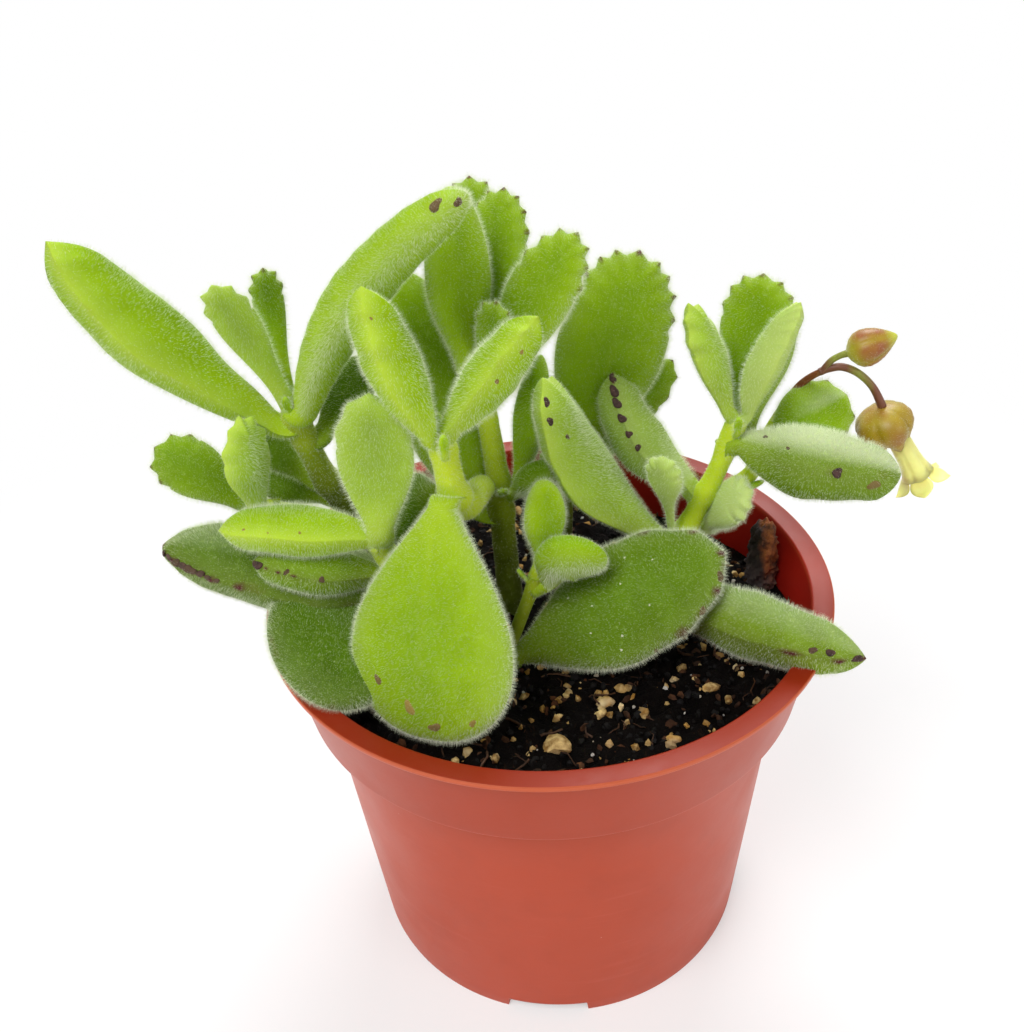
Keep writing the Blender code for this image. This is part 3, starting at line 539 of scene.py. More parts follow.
def new_group(name, inputs, outputs, kind="ShaderNodeTree"):
    """An empty group with named inputs (name, sort of socket, default) and outputs (name, sort)."""
    tree = bpy.data.node_groups.new(name, kind)
    for title, sort, *default in inputs:
        made = tree.interface.new_socket(title, in_out="INPUT", socket_type=f"NodeSocket{sort}")
        if default:
            made.default_value = default[0]
    for title, sort in outputs:
        tree.interface.new_socket(title, in_out="OUTPUT", socket_type=f"NodeSocket{sort}")
    given, out = tree.nodes.new("NodeGroupInput"), tree.nodes.new("NodeGroupOutput")
    return Graph(tree), given.outputs, out.inputs


def make_shared_groups():
    """The effects that several materials use."""
    graph, given, out = new_group(
        "Mottling",
        (("Light", "Color", (1, 1, 1, 1)), ("Deep", "Color", (0, 0, 0, 1)), ("Scale", "Float", 200.0),
         ("Contrast", "Float", 0.5)),
        (("Colour", "Color"), ("Height", "Float")),
    )
    coarse = graph.noise(given["Scale"], 4.0, 0.6)
    spread = graph.times(graph.math("SUBTRACT", coarse, 0.5), graph.times(given["Contrast"], 4.0))
    shifted = graph.math("ADD", spread, 0.5, clamp=True)
    graph.link(graph.mix(shifted, given["Light"], given["Deep"]), out["Colour"])
    graph.link(coarse, out["Height"])

    graph, given, out = new_group(
        "Specks", (("Scale", "Float", 400.0), ("Size", "Float", 0.2), ("Amount", "Float", 0.1)),
        (("Mask", "Float"),),
    )
    cells = graph.tree.nodes.new("ShaderNodeTexVoronoi")
    graph.link(graph.place(), cells.inputs["Vector"])
    graph.link(given["Scale"], cells.inputs["Scale"])
    ragged = graph.noise(graph.times(given["Scale"], 2.5), 2.0)
    distance = graph.plus(cells.outputs["Distance"], graph.times(ragged, 0.12))
    chance = graph.add("ShaderNodeSeparateColor", {0: cells.outputs["Color"]})
    chosen = graph.math("LESS_THAN", chance, given["Amount"])
    reach = graph.times(given["Size"], graph.span(chance, 0.0, 0.2, 0.6, 1.3))
    near = graph.span(distance, graph.times(reach, 0.7), reach, 1.0, 0.0)
    graph.link(graph.times(near, chosen), out["Mask"])

    graph, given, out = new_group(
        "Short hair", (("Scale", "Float", 1800.0),), (("Mask", "Float"), ("Height", "Float"))
    )
    along = graph.noise(given["Scale"], 2.0, 0.6, (1.0, 1.0, 0.35))
    across = graph.noise(given["Scale"], 2.0, 0.6, (0.45, 1.0, 1.0))
    both = graph.math("MAXIMUM", along, across)
    graph.link(graph.span(both, 0.56, 0.78), out["Mask"])
    graph.link(both, out["Height"])

    graph, given, out = new_group(
        "Scuffs", (("Scale", "Float", 60.0), ("Amount", "Float", 0.5)), (("Mask", "Float"),)
    )
    lines = graph.noise(given["Scale"], 5.0, 0.65, (1.0, 1.0, 14.0))
    worn = graph.times(graph.span(lines, 0.58, 0.72), graph.patches(45.0, 3.0, 0.42, 0.62))
    graph.link(graph.times(worn, given["Amount"]), out["Mask"])


def new_material(name, roughness, **fixed):
    """A material with its graph and its shader. Other shader values are the same all over."""
    made = bpy.data.materials.new(name)
    made.use_nodes = True
    shader = made.node_tree.nodes["Principled BSDF"]
    for title, value in {"Roughness": roughness, "Metallic": 0.0, **fixed}.items():
        shader.inputs[title.replace("_", " ")].default_value = value
    return made, Graph(made.node_tree), shader


def dress(graph, shader, tint, roughness, height, strength, distance):
    """Gives a shader its colour, its roughness unless that is None, and its bumps."""
    graph.link(tint, shader.inputs["Base Color"])
    if roughness is not None:
        graph.link(roughness, shader.inputs["Roughness"])
    made = graph.add("ShaderNodeBump", {"Strength": strength, "Distance": distance, "Height": height})
    graph.link(made, shader.inputs["Normal"])


def plastic_material(settings):
    made, graph, shader = new_material("moulded_plastic", 0.38, Specular_IOR_Level=0.18)
    base = np.array(settings.plastic)
    body = graph.mottled(base * 1.06, base * 0.92, 38.0, 0.3)
    scuffs = graph.group("Scuffs", Scale=55.0, Amount=0.15)["Mask"]
    height, upward = graph.axis(2), graph.axis(2, graph.normal())
    flat_place = graph.place((1.0, 1.0, 0.0))
    at_rim = graph.span(height, (POT_HEIGHT - 1.2) * MM, (POT_HEIGHT - 0.5) * MM)
    on_rim = graph.times(at_rim, graph.span(upward, 0.35, 0.9))
    dusty = graph.times(on_rim, graph.span(graph.noise(900.0, 5.0, 0.7), 0.5, 0.75, 0.0, 0.4))
    grime = graph.span(graph.noise(120.0, 4.0, 0.6), 0.5, 0.8, 0.0, 0.25)
    tint = graph.layers(
        body["Colour"], (dusty, settings.dust), (grime, base * 0.72),
        (scuffs, np.minimum(base * 1.2 + 0.10, 1.0)),
    )
    tint = graph.speckled(tint, 330.0, 0.16, 0.05, TINTS["plastic speck"])
    around = graph.add(
        "ShaderNodeVectorMath", {0: graph.normal(), 1: flat_place}, out="Value", operation="DOT_PRODUCT"
    )
    outside = graph.span(around, 0.0, 0.01)
    collar_foot = POT_HEIGHT * MM - settings.collar_depth
    # Painted shade: the outside of the collar band is tinted deeper, as if it reflected less light.
    collar = graph.times(outside, graph.span(height, collar_foot, collar_foot + 0.0006, 0.0, 0.4))
    # Painted highlight: a pale line along the collar's lower edge.
    step = graph.math("ABSOLUTE", graph.math("SUBTRACT", height, collar_foot - 0.0001), 0.0)
    edge = graph.times(outside, graph.span(step, 0.0003, 0.0, 0.0, 0.3))
    # Painted shade: the inside of the wall under the rim is darkened to deep red.
    inner = graph.times(graph.span(around, -0.004, -0.02), graph.span(height, *INNER_SHADE_BAND, 0.0, 0.9))
    out_from = graph.add("ShaderNodeVectorMath", {0: flat_place}, out="Value", operation="LENGTH")
    # Painted highlight: a light line round the rim's outer edge.
    brink = graph.span(out_from, (RIM_RADIUS - 0.32) * MM, (RIM_RADIUS - 0.18) * MM, 0.0, 0.4)
    tint = graph.layers(
        tint, (collar, TINTS["collar"]), (edge, TINTS["collar edge highlight"]),
        # Painted shade: upward-facing plastic, such as the rim's top, is darkened.
        (graph.span(upward, 0.2, 0.6, 0.0, 0.9), TINTS["painted top shade"]), (inner, TINTS["inner wall shade"]),
        (brink, TINTS["rim highlight"]),
    )
    gloss = graph.span(graph.noise(70.0, 5.0, 0.6), 0.3, 0.7, 0.30, 0.42)
    grain = graph.times(graph.noise(1400.0, 3.0), 0.35)
    waves = graph.plus(graph.plus(grain, graph.noise(110.0, 2.0)), scuffs)
    dress(graph, shader, tint, graph.plus(gloss, graph.times(dusty, 0.35)), waves, 0.22, 0.00012)
    return made


def soil_material(settings):
    made, graph, shader = new_material("damp_peat", 0.8, Specular_IOR_Level=0.05)
    base = np.array(settings.peat)
    body = graph.mottled(base * 1.9, base * 0.35, 420.0, 0.6)
    strands = graph.noise(700.0, 4.0, 0.7, (1.0, 0.25, 1.0), 1.5)
    tint = graph.mix(graph.span(strands, 0.6, 0.75, 0.0, 0.5), body["Colour"], settings.fibre)
    tint = graph.speckled(tint, 900.0, 0.3, 0.03, TINTS["soil speck"])
    rough = graph.patches(260.0, 3.0, 0.35, 0.65, 0.45, 0.95)
    lumps = graph.plus(graph.noise(900.0, 6.0, 0.7), graph.noise(3200.0, 3.0, 0.7))
    dress(graph, shader, tint, rough, lumps, 0.9, 0.0006)
    return made


def stone_material(name, light, deep, roughness=0.75):
    """Stone, crumb or fibre whose own shade comes from its attribute."""
    made, graph, shader = new_material(name, roughness, Specular_IOR_Level=0.15)
    light = np.array(light)
    body = graph.mottled(light, deep, 750.0, 0.95)
    rusty = graph.patches(190.0, 2.0, 0.50, 0.66, 0.0, 0.6)
    creamy = graph.span(graph.noise(230.0, 2.0, 0.5, (1.0, 1.3, 1.0)), 0.56, 0.68, 0.0, 0.6)
    tint = graph.layers(
        body["Colour"], (rusty, light * (0.75, 0.5, 0.18)),
        (creamy, np.minimum(light * (1.1, 1.3, 1.9), 1.0)),
        (graph.times(graph.attribute("shade"), 0.7), deep),
    )
    dress(graph, shader, tint, None, graph.noise(2600.0, 5.0, 0.7), 0.7, 0.0002)
    return made


def leaf_material(name, settings, fresh, old):
    """Fleshy leaf skin. Its attributes say what is where."""
    made, graph, shader = new_material(
        name, 0.6, Subsurface_Weight=0.10, Subsurface_Radius=(0.25, 0.6, 0.03), Subsurface_Scale=0.0010,
        Sheen_Weight=0.40, Sheen_Roughness=0.22, Sheen_Tint=(0.86, 1.0, 0.55, 1.0), Specular_IOR_Level=0.08,
    )
    age, along, margin, tooth, ridge, pale, bloom, crown = (
        graph.attribute(title)
        for title in ("age", "along", "margin", "tooth", "ridge", "pale", "bloom", "crown")
    )
    young = graph.mottled(np.minimum(fresh * 1.12, 1), fresh * 0.80, 260.0, 0.45)
    aged = graph.mottled(old * 1.25, old * 0.75, 210.0, 0.5)
    stalk = graph.times(graph.span(along, 0.28, -0.05), graph.span(age, 0.0, 1.0, 0.8, 0.35))
    rib = graph.times(graph.span(margin, 0.10, 0.0), graph.span(along, 0.95, 0.5, 0.0, 0.22))
    rib = graph.times(rib, graph.span(age, 0.3, 0.7, 1.0, 0.0))
    rim = graph.times(graph.span(margin, 0.62, 1.0), graph.span(age, 0.0, 1.0, 0.42, 0.30))
    heart = graph.times(graph.span(margin, 0.75, 0.1, 0.0, 0.45), graph.span(along, 0.15, 0.5))
    flush = graph.times(graph.patches(240.0, 3.0, 0.52, 0.66), graph.span(age, 0.5, 1.0))
    flush = graph.times(flush, graph.span(margin, 0.92, 1.0, 0.0, 0.6))
    # Painted highlight: a lighter line along the keen ridge of edge-on blades.
    crest = graph.times(graph.span(ridge, 0.0, 1.0, 0.0, 0.5), graph.span(along, 0.0, 0.3))
    # Painted highlight: upward-facing skin is lightened, partly pale fuzz and partly light falling from
    # above.
    bloom = graph.times(bloom, graph.span(crown, 0.40, 0.95))
    hair = graph.group("Short hair", Scale=2300.0)
    whitish = graph.times(hair["Mask"], graph.span(bloom, 0.0, 0.7, 0.24, 0.6))
    claws = graph.times(graph.span(tooth, 0.25, 0.8), graph.span(age, 0.18, 0.35))
    tint = graph.layers(
        graph.mix(age, young["Colour"], aged["Colour"]),
        (stalk, settings.stalk_end), (rib, settings.stalk_end),
        (rim, graph.mix(age, TINTS["fresh margin"], TINTS["old margin"])),
        (heart, old * 1.6), (flush, np.array(settings.claw) * 1.4),
        (crest, graph.mix(graph.span(age, 0.1, 0.5), TINTS["fresh crest highlight"], TINTS["old crest highlight"])),
        # Partly painted light: pale lightens whole leaves, for paler fuzz and for leaves that lie in shade.
        (pale, TINTS["pale skin and painted light"]), (graph.times(bloom, 0.75), TINTS["bloom"]),
        (whitish, np.minimum(fresh * 0.8 + (0.30, 0.28, 0.22), 1.0)), (claws, settings.claw),
    )
    tint = graph.speckled(tint, 420.0, 0.13, 0.06, TINTS["leaf dirt"], 0.8)
    tint = graph.speckled(tint, 700.0, 0.15, 0.04, TINTS["leaf dust"], 0.7)
    skin = graph.plus(graph.times(young["Height"], 1.2), hair["Height"])
    dress(graph, shader, tint, graph.patches(500.0, 4.0, 0.3, 0.7, 0.48, 0.68), skin, 0.55, 0.00018)
    return made


def stem_material(settings):
    made, graph, shader = new_material(
        "stem_skin", 0.55, Subsurface_Weight=0.1, Subsurface_Radius=(0.3, 0.6, 0.05),
        Subsurface_Scale=0.001, Sheen_Weight=0.1, Sheen_Roughness=0.4, Specular_IOR_Level=0.1,
    )
    top, foot = np.array(settings.stem_top), np.array(settings.stem_foot)
    upper = graph.mottled(np.minimum(top * 1.1, 1), top * 0.8, 300.0, 0.4)
    lower = graph.mottled(foot * 1.3, foot * 0.6, 260.0, 0.6)
    wander = graph.plus(graph.axis(2), graph.times(graph.noise(90.0, 3.0), 0.012))
    height = graph.math("SUBTRACT", wander, graph.times(graph.attribute("age"), 0.032))
    hair = graph.group("Short hair", Scale=1900.0)
    tint = graph.layers(
        lower["Colour"], (graph.span(height, *STEM_GREENING), upper["Colour"]),
        (graph.attribute("ruddy"), TINTS["ruddy stem"]),
        (graph.times(hair["Mask"], 0.15), TINTS["stem hair"]),
    )
    tint = graph.speckled(tint, 500.0, 0.16, 0.06, TINTS["stem dirt"], 0.8)
    rough = graph.patches(400.0, 3.0, 0.3, 0.7, 0.45, 0.7)
    dress(graph, shader, tint, rough, graph.plus(upper["Height"], hair["Height"]), 0.4, 0.0002)
    return made


def petal_material(name, light, deep, scale, roughness, sheen):
    """Thin flower skin: one colour flushed with another along its seams."""
    made, graph, shader = new_material(
        name, roughness, Subsurface_Weight=0.15, Subsurface_Radius=(0.6, 0.4, 0.1), Subsurface_Scale=0.0008,
        Sheen_Weight=sheen,
    )
    light = np.array(light)
    body = graph.mottled(np.minimum(light * 1.15, 1), light * 0.88, scale, 0.5)
    flush = graph.span(graph.attribute("flush"), 0.25, 0.9)
    flush = graph.times(flush, graph.patches(330.0, 3.0, 0.3, 0.6, 0.45, 1.0))
    tint = graph.layers(body["Colour"], (flush, deep), (graph.attribute("pale"), TINTS["sepal foot"]))
    veins = graph.noise(900.0, 3.0, 0.6)
    rough = graph.span(veins, 0.3, 0.7, roughness - 0.06, roughness + 0.1)
    dress(graph, shader, tint, rough, graph.plus(veins, body["Height"]), 0.35, 0.00015)
    return made


def bark_material():
    made, graph, shader = new_material("dead_bark", 0.9)
    corky = graph.mottled(TINTS["cork in light"], TINTS["cork crack"], 420.0, 0.9)
    black = graph.mottled(TINTS["black bark in shade"], TINTS["black crack"], 520.0, 0.6)
    wander = graph.plus(graph.axis(0), graph.times(graph.noise(160.0, 3.0), 0.003))
    # Partly painted light: the stub's right side takes the lighter cork colour as a painted highlight, its
    # left side the black bark colour as painted shade.
    tint = graph.layers(
        black["Colour"], (graph.span(wander, *BARK_LIT_EDGE), corky["Colour"]),
        (graph.span(graph.axis(2), *BARK_FOOT, 0.0, 0.7), TINTS["bark foot"]),
    )
    cracks = graph.noise(900.0, 6.0, 0.75, (1.0, 1.0, 0.25))
    dress(graph, shader, tint, None, graph.plus(cracks, corky["Height"]), 1.0, 0.0005)
    return made


def hair_material(name, tint):
    made, graph, shader = new_material(name, 0.5, Specular_IOR_Level=0.2, Sheen_Weight=0.3)
    graph.put(tint, shader.inputs["Base Color"])
    return made


def scar_material(settings):
    made, graph, shader = new_material("corky_scar", 0.85)
    base = np.array(settings.scar)
    body = graph.mottled(base * 2.0 + 0.01, base * 0.5, 1500.0, 0.7)
    shade = graph.attribute("shade")
    tint = graph.layers(
        body["Colour"], (shade, TINTS["ochre scar"]), (graph.span(shade, 1.2, 2.0), TINTS["white speck"])
    )
    dress(graph, shader, tint, None, graph.noise(3500.0, 4.0, 0.7), 0.8, 0.00015)
    return made


# ---------------------------------------------------------------- meshes
def ring_faces(rings, sides):
    """Quads between consecutive rings of a tube."""
    ring = np.arange(rings - 1)[:, None] * sides
    step = np.arange(sides)[None, :]
    after = (step + 1) % sides
    quads = np.stack([ring + step, ring + after, ring + sides + after, ring + sides + step], axis=-1)
    return quads.reshape(-1, 4).tolist()


def circle(sides):
    """Angles of evenly spaced sides, and their directions in the plane."""
    turn = np.linspace(0, math.tau, sides, endpoint=False)
    return turn, np.stack([np.cos(turn), np.sin(turn)], axis=1)


def spokes_round(sides, side, other):
    """Directions of evenly spaced sides in the plane of two directions."""
    turn = circle(sides)[0]
    return np.outer(np.cos(turn), side) + np.outer(np.sin(turn), other)


def unit(way):
    return way / np.linalg.norm(way)


def flower_axes(start, end):
    """A flower's axis, and two directions square to it and to each other."""
    along = unit(np.array(end, float) - np.array(start, float))
    side = unit(np.cross(along, [0.0, 1.0, 0.2]))
    return along, side, np.cross(along, side)


def fan_faces(rings, sides):
    """Faces that close a tube at both ends with centre points added after its rings."""
    total, last = rings * sides, (rings - 1) * sides
    faces = []
    for step in range(sides):
        after = (step + 1) % sides
        faces += [[total, after, step], [total + 1, last + step, last + after]]
    return faces


def capped(rings, sides):
    """Points and faces of a tube of rings whose ends are flat."""
    last = (len(rings) - 1) * sides
    ends = [list(range(sides))[::-1], list(range(last, last + sides))]
    return np.concatenate(rings), ring_faces(len(rings), sides) + ends


def merged(forms):
    """Several (points, faces, values) as one."""
    points, faces, values = [], [], []
    first = 0
    for some, corners, numbers in forms:
        faces += [[corner + first for corner in face] for face in corners]
        points.append(some)
        values.append(numbers)
        first += len(some)
    return np.concatenate(points), faces, np.concatenate(values)


def mesh_of(name, points, faces, values=()):
    """A smooth closed mesh in metres from points in millimetres, its faces turned outwards."""
    mesh = bpy.data.meshes.new(name)
    mesh.from_pydata((np.asarray(points, float) * MM).tolist(), [], faces)
    for title, numbers in dict(values).items():
        layer = mesh.attributes.new(title, "FLOAT", "POINT")
        layer.data.foreach_set("value", np.asarray(numbers, np.float32).ravel())
    builder = bmesh.new()
    builder.from_mesh(mesh)
    bmesh.ops.recalc_face_normals(builder, faces=builder.faces)
    if builder.calc_volume(signed=True) < 0:
        bmesh.ops.reverse_faces(builder, faces=builder.faces)
    builder.to_mesh(mesh)
    builder.free()
    mesh.shade_smooth()
    return mesh


def show(name, mesh, paint=None, sharp=None):
    """Puts a mesh in the scene. Edges beyond the sharp angle stay hard."""
    if sharp:
        mesh.set_sharp_from_angle(angle=math.radians(sharp))
    if paint:
        mesh.materials.clear()
        mesh.materials.append(paint)
    obj = bpy.data.objects.new(name, mesh)
    bpy.context.scene.collection.objects.link(obj)
    return obj


def finish_piece(obj, stands_for=()):
    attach(obj, BODY)
    if stands_for:
        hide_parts(*stands_for)


def grown(name, source, tree, values):
    """What a Geometry Nodes tree makes on a source object, as an object with a plain mesh."""
    modifier = source.modifiers.new(tree.name, "NODES")
    modifier.node_group = tree
    for item in tree.interface.items_tree:
        if item.item_type == "SOCKET" and item.in_out == "INPUT" and item.name in values:
            modifier[item.identifier] = values[item.name]
    bpy.context.view_layer.update()
    graph = bpy.context.evaluated_depsgraph_get()
    evaluated = source.evaluated_get(graph)
    mesh = bpy.data.meshes.new_from_object(evaluated, preserve_all_data_layers=True, depsgraph=graph)
    source.modifiers.remove(modifier)
    if not mesh.polygons:
        raise RuntimeError(f"{name} has no faces")
    mesh.name = name
    return show(name, mesh)


def joined(name, meshes):
    """One object from copies of several meshes."""
    builder = bmesh.new()
    for mesh in meshes:
        builder.from_mesh(mesh)
    mesh = bpy.data.meshes.new(name)
    builder.to_mesh(mesh)
    builder.free()
    return show(name, mesh)


def wobble(points, scale, seed):
    """Smooth pseudo-random numbers from -1 to 1, one for each point."""
    points = np.asarray(points, float) * scale
    phase = np.array([1.7, 4.1, 2.9]) * (seed + 1)
    waves = np.sin(points @ np.array([1.0, 0.6, -0.4]) + phase[0])
    waves = waves + np.sin(points @ np.array([-0.5, 1.1, 0.7]) * 1.7 + phase[1])
    waves = waves + np.sin(points @ np.array([0.8, -0.3, 1.2]) * 2.9 + phase[2])
    return waves / 3


# ---------------------------------------------------------------- pot
FIRST_NOTCH, FIRST_DRAIN = 265, 22
DRAIN_CIRCLE = 0.019


def wall_radius(height, pot):
    """Outside radius of the pot's wall at a height, in millimetres."""
    collar_foot = POT_HEIGHT - 1000 * pot.collar_depth
    if height <= collar_foot:
        return 1000 * (pot.foot + (pot.wall_top - pot.foot) * height / collar_foot)
    rise = (height - collar_foot) / (1000 * pot.collar_depth)
    return 1000 * (pot.collar_foot + (pot.collar_top - pot.collar_foot) * rise)


def rounded(corners):
    """A profile whose corners (radius, height, fillet) are rounded off by their fillets."""
    points = []
    total = len(corners)
    for index, (x, z, fillet) in enumerate(corners):
        here = np.array([x, z], float)
        before = np.array(corners[index - 1][:2], float)
        after = np.array(corners[(index + 1) % total][:2], float)
        if fillet == 0 or index in (0, total - 1):
            points.append(here)
            continue
        back = (before - here) / np.linalg.norm(before - here)
        on = (after - here) / np.linalg.norm(after - here)
        for t in (0.0, 0.25, 0.5, 0.75, 1.0):
            points.append(here + back * fillet * (1 - t) ** 2 + on * fillet * t ** 2)
    return points


class COTYLEDON_OT_pot(bpy.types.Operator):
    """Makes the nursery pot: rounded rim, collar, tapered wall, notched foot and pierced floor"""

    bl_idname = "cotyledon.pot"
    bl_label = "Pot"

    def execute(self, context):
        pot = context.scene.cotyledon_pot
        wall = 1000 * pot.wall
        collar_foot = POT_HEIGHT - 1000 * pot.collar_depth
        lip_foot = POT_HEIGHT - 1000 * pot.lip_depth
        floor_low = 1000 * pot.floor_height
        floor_top = floor_low + 1000 * pot.floor_thickness
        inner_rim = RIM_RADIUS - 1000 * pot.rim_width
        collar, top, foot = 1000 * pot.collar_foot, 1000 * pot.wall_top, 1000 * pot.foot
        corners = [
            (0, floor_top, 0),
            (wall_radius(floor_top, pot) - wall, floor_top, 0.8),
            (top - wall, collar_foot + wall, 0.5),
            (collar - wall, collar_foot + wall + 0.4, 0.5),
            (inner_rim, POT_HEIGHT - 0.25, 0.3),
            (RIM_RADIUS - 0.05, POT_HEIGHT, 0.3),
            (RIM_RADIUS - 0.1, lip_foot, 0.3),
            (wall_radius(lip_foot, pot), lip_foot - 0.2, 0.3),
            (collar + 0.05, collar_foot - 0.1, 0.35),
            (top + 0.1, collar_foot - 0.5, 0.5),
            *((wall_radius(height, pot), height, 0) for height in (40, 20, 6, 3.2, 2.6)),
            (foot + 0.02, 0.45, 0),
            (foot - 0.12, 0, 0),
            (foot - 1.5, 0, 0),
            (foot - 1.6, 0.25, 0),
            (foot - 1.6, floor_low, 0),
            (8.0, floor_low, 0.3),
            (7.8, 0, 0.3),
            (0, 0, 0),
        ]
        half = 0.5 * pot.notch_width / pot.foot
        middles = [math.radians(FIRST_NOTCH + 360 * index / pot.notches) for index in range(pot.notches)]
        angles = list(circle(192)[0])
        edges = [middle + edge for middle in middles for edge in (-half, half)]
        angles += [edge + gap for edge in edges for gap in (-0.004, 0.004)]
        turn = np.array(sorted(set(round(angle % math.tau, 5) for angle in angles)))
        in_notch = np.zeros(len(turn), bool)
        for middle in middles:
            in_notch |= np.abs((turn - middle + math.pi) % math.tau - math.pi) < half
        rings = []
        spokes = np.stack([np.cos(turn), np.sin(turn)], axis=1)
        for radius, height in rounded(corners)[1:-1]:
            heights = np.full(len(turn), height)
            if radius > foot - 2 and height < 1:
                heights = np.where(in_notch, floor_low - 0.25 + 0.3 * height, heights)
            lean = (wall_radius(2.2, pot) - foot) * (heights > height)
            rings.append(np.column_stack([spokes * (radius + lean)[:, None], heights]))
        faces = ring_faces(len(rings), len(turn)) + fan_faces(len(rings), len(turn))
        shell = mesh_of("pot_shell", np.vstack([*rings, (0, 0, floor_top), (0, 0, 0)]), faces)
        shell_obj = show("pot_shell", shell, plastic_material(pot), 50)
        cutters = []
        for index in range(pot.drains):
            turned = math.radians(FIRST_DRAIN + 360 * index / pot.drains)
            drill = bmesh.new()
            middle = (DRAIN_CIRCLE * math.cos(turned), DRAIN_CIRCLE * math.sin(turned), pot.floor_height)
            bmesh.ops.create_cone(
                drill, cap_ends=True, segments=32, radius1=pot.drain_radius, radius2=pot.drain_radius,
                depth=4 * pot.floor_thickness, matrix=Matrix.Translation(middle),
            )
            bit = bpy.data.meshes.new("drill")
            drill.to_mesh(bit)
            drill.free()
            cutters.append(show("drill", bit))
            cut = shell_obj.modifiers.new("drain", "BOOLEAN")
            cut.operation, cut.solver, cut.object = "DIFFERENCE", "EXACT", cutters[-1]
        context.view_layer.update()
        graph = context.evaluated_depsgraph_get()
        mesh = bpy.data.meshes.new_from_object(shell_obj.evaluated_get(graph), depsgraph=graph)
        for spent in (*cutters, shell_obj):
            bpy.data.objects.remove(spent)
        mesh.name = "nursery_pot"
        finish_piece(show("nursery_pot", mesh), ("pot",))
        return {"FINISHED"}


# ---------------------------------------------------------------- soil
def soil_height(x, y, soil):
    """Height of the soil's surface, level in front and falling away to the back right."""
    toward = x * math.cos(soil.low_side) + y * math.sin(soil.low_side)
    fallen = np.maximum(toward, 0) / RIM_RADIUS
    ripple = 0.3 * np.sin(0.31 * x + 1.0) * np.cos(0.27 * y)
    return 1000 * (soil.level - soil.fall * fallen * fallen) + ripple


class COTYLEDON_OT_soil(bpy.types.Operator):
    """Makes the soil: a lumpy surface of damp peat that fills the pot"""

    bl_idname = "cotyledon.soil"
    bl_label = "Soil"

    def execute(self, context):
        soil, pot = context.scene.cotyledon_soil, context.scene.cotyledon_pot
        wall = 1000 * pot.wall
        sides = 180
        spokes = circle(sides)[1]
        edge = wall_radius(1000 * (soil.level - soil.fall), pot) - wall - 0.1
        rings = []
        for radius in np.linspace(0.6, edge, 66):
            x, y = (spokes * radius).T
            height = soil_height(x, y, soil)
            flat = np.column_stack([x, y, np.zeros(sides)])
            lumps = wobble(flat, 0.55, 3) + 0.7 * wobble(flat, 1.3, 8) + 0.45 * wobble(flat, 2.9, 5)
            level = height + 1000 * soil.roughness * lumps * min((edge - radius) / 1.5 + 0.15, 1.0)
            rings.append(np.column_stack([x, y, level]))
        ledge = POT_HEIGHT - 1000 * pot.collar_depth
        floor = 1000 * (pot.floor_height + pot.floor_thickness) + 0.2
        for radius, height in (
            (1000 * pot.collar_foot - wall - 0.3, ledge + wall + 0.8),
            (1000 * pot.wall_top - wall - 0.5, ledge + wall + 0.3),
            (wall_radius(floor, pot) - wall - 0.3, floor),
        ):
            rings.append(np.column_stack([spokes * radius, np.full(sides, height)]))
        faces = ring_faces(len(rings), sides) + fan_faces(len(rings), sides)
        middle = soil_height(0.0, 0.0, soil)
        mesh = mesh_of("soil_body", np.vstack([*rings, (0, 0, middle), (0, 0, floor)]), faces)
        finish_piece(show("soil_body", mesh, soil_material(soil)), ("soil",))
        return {"FINISHED"}


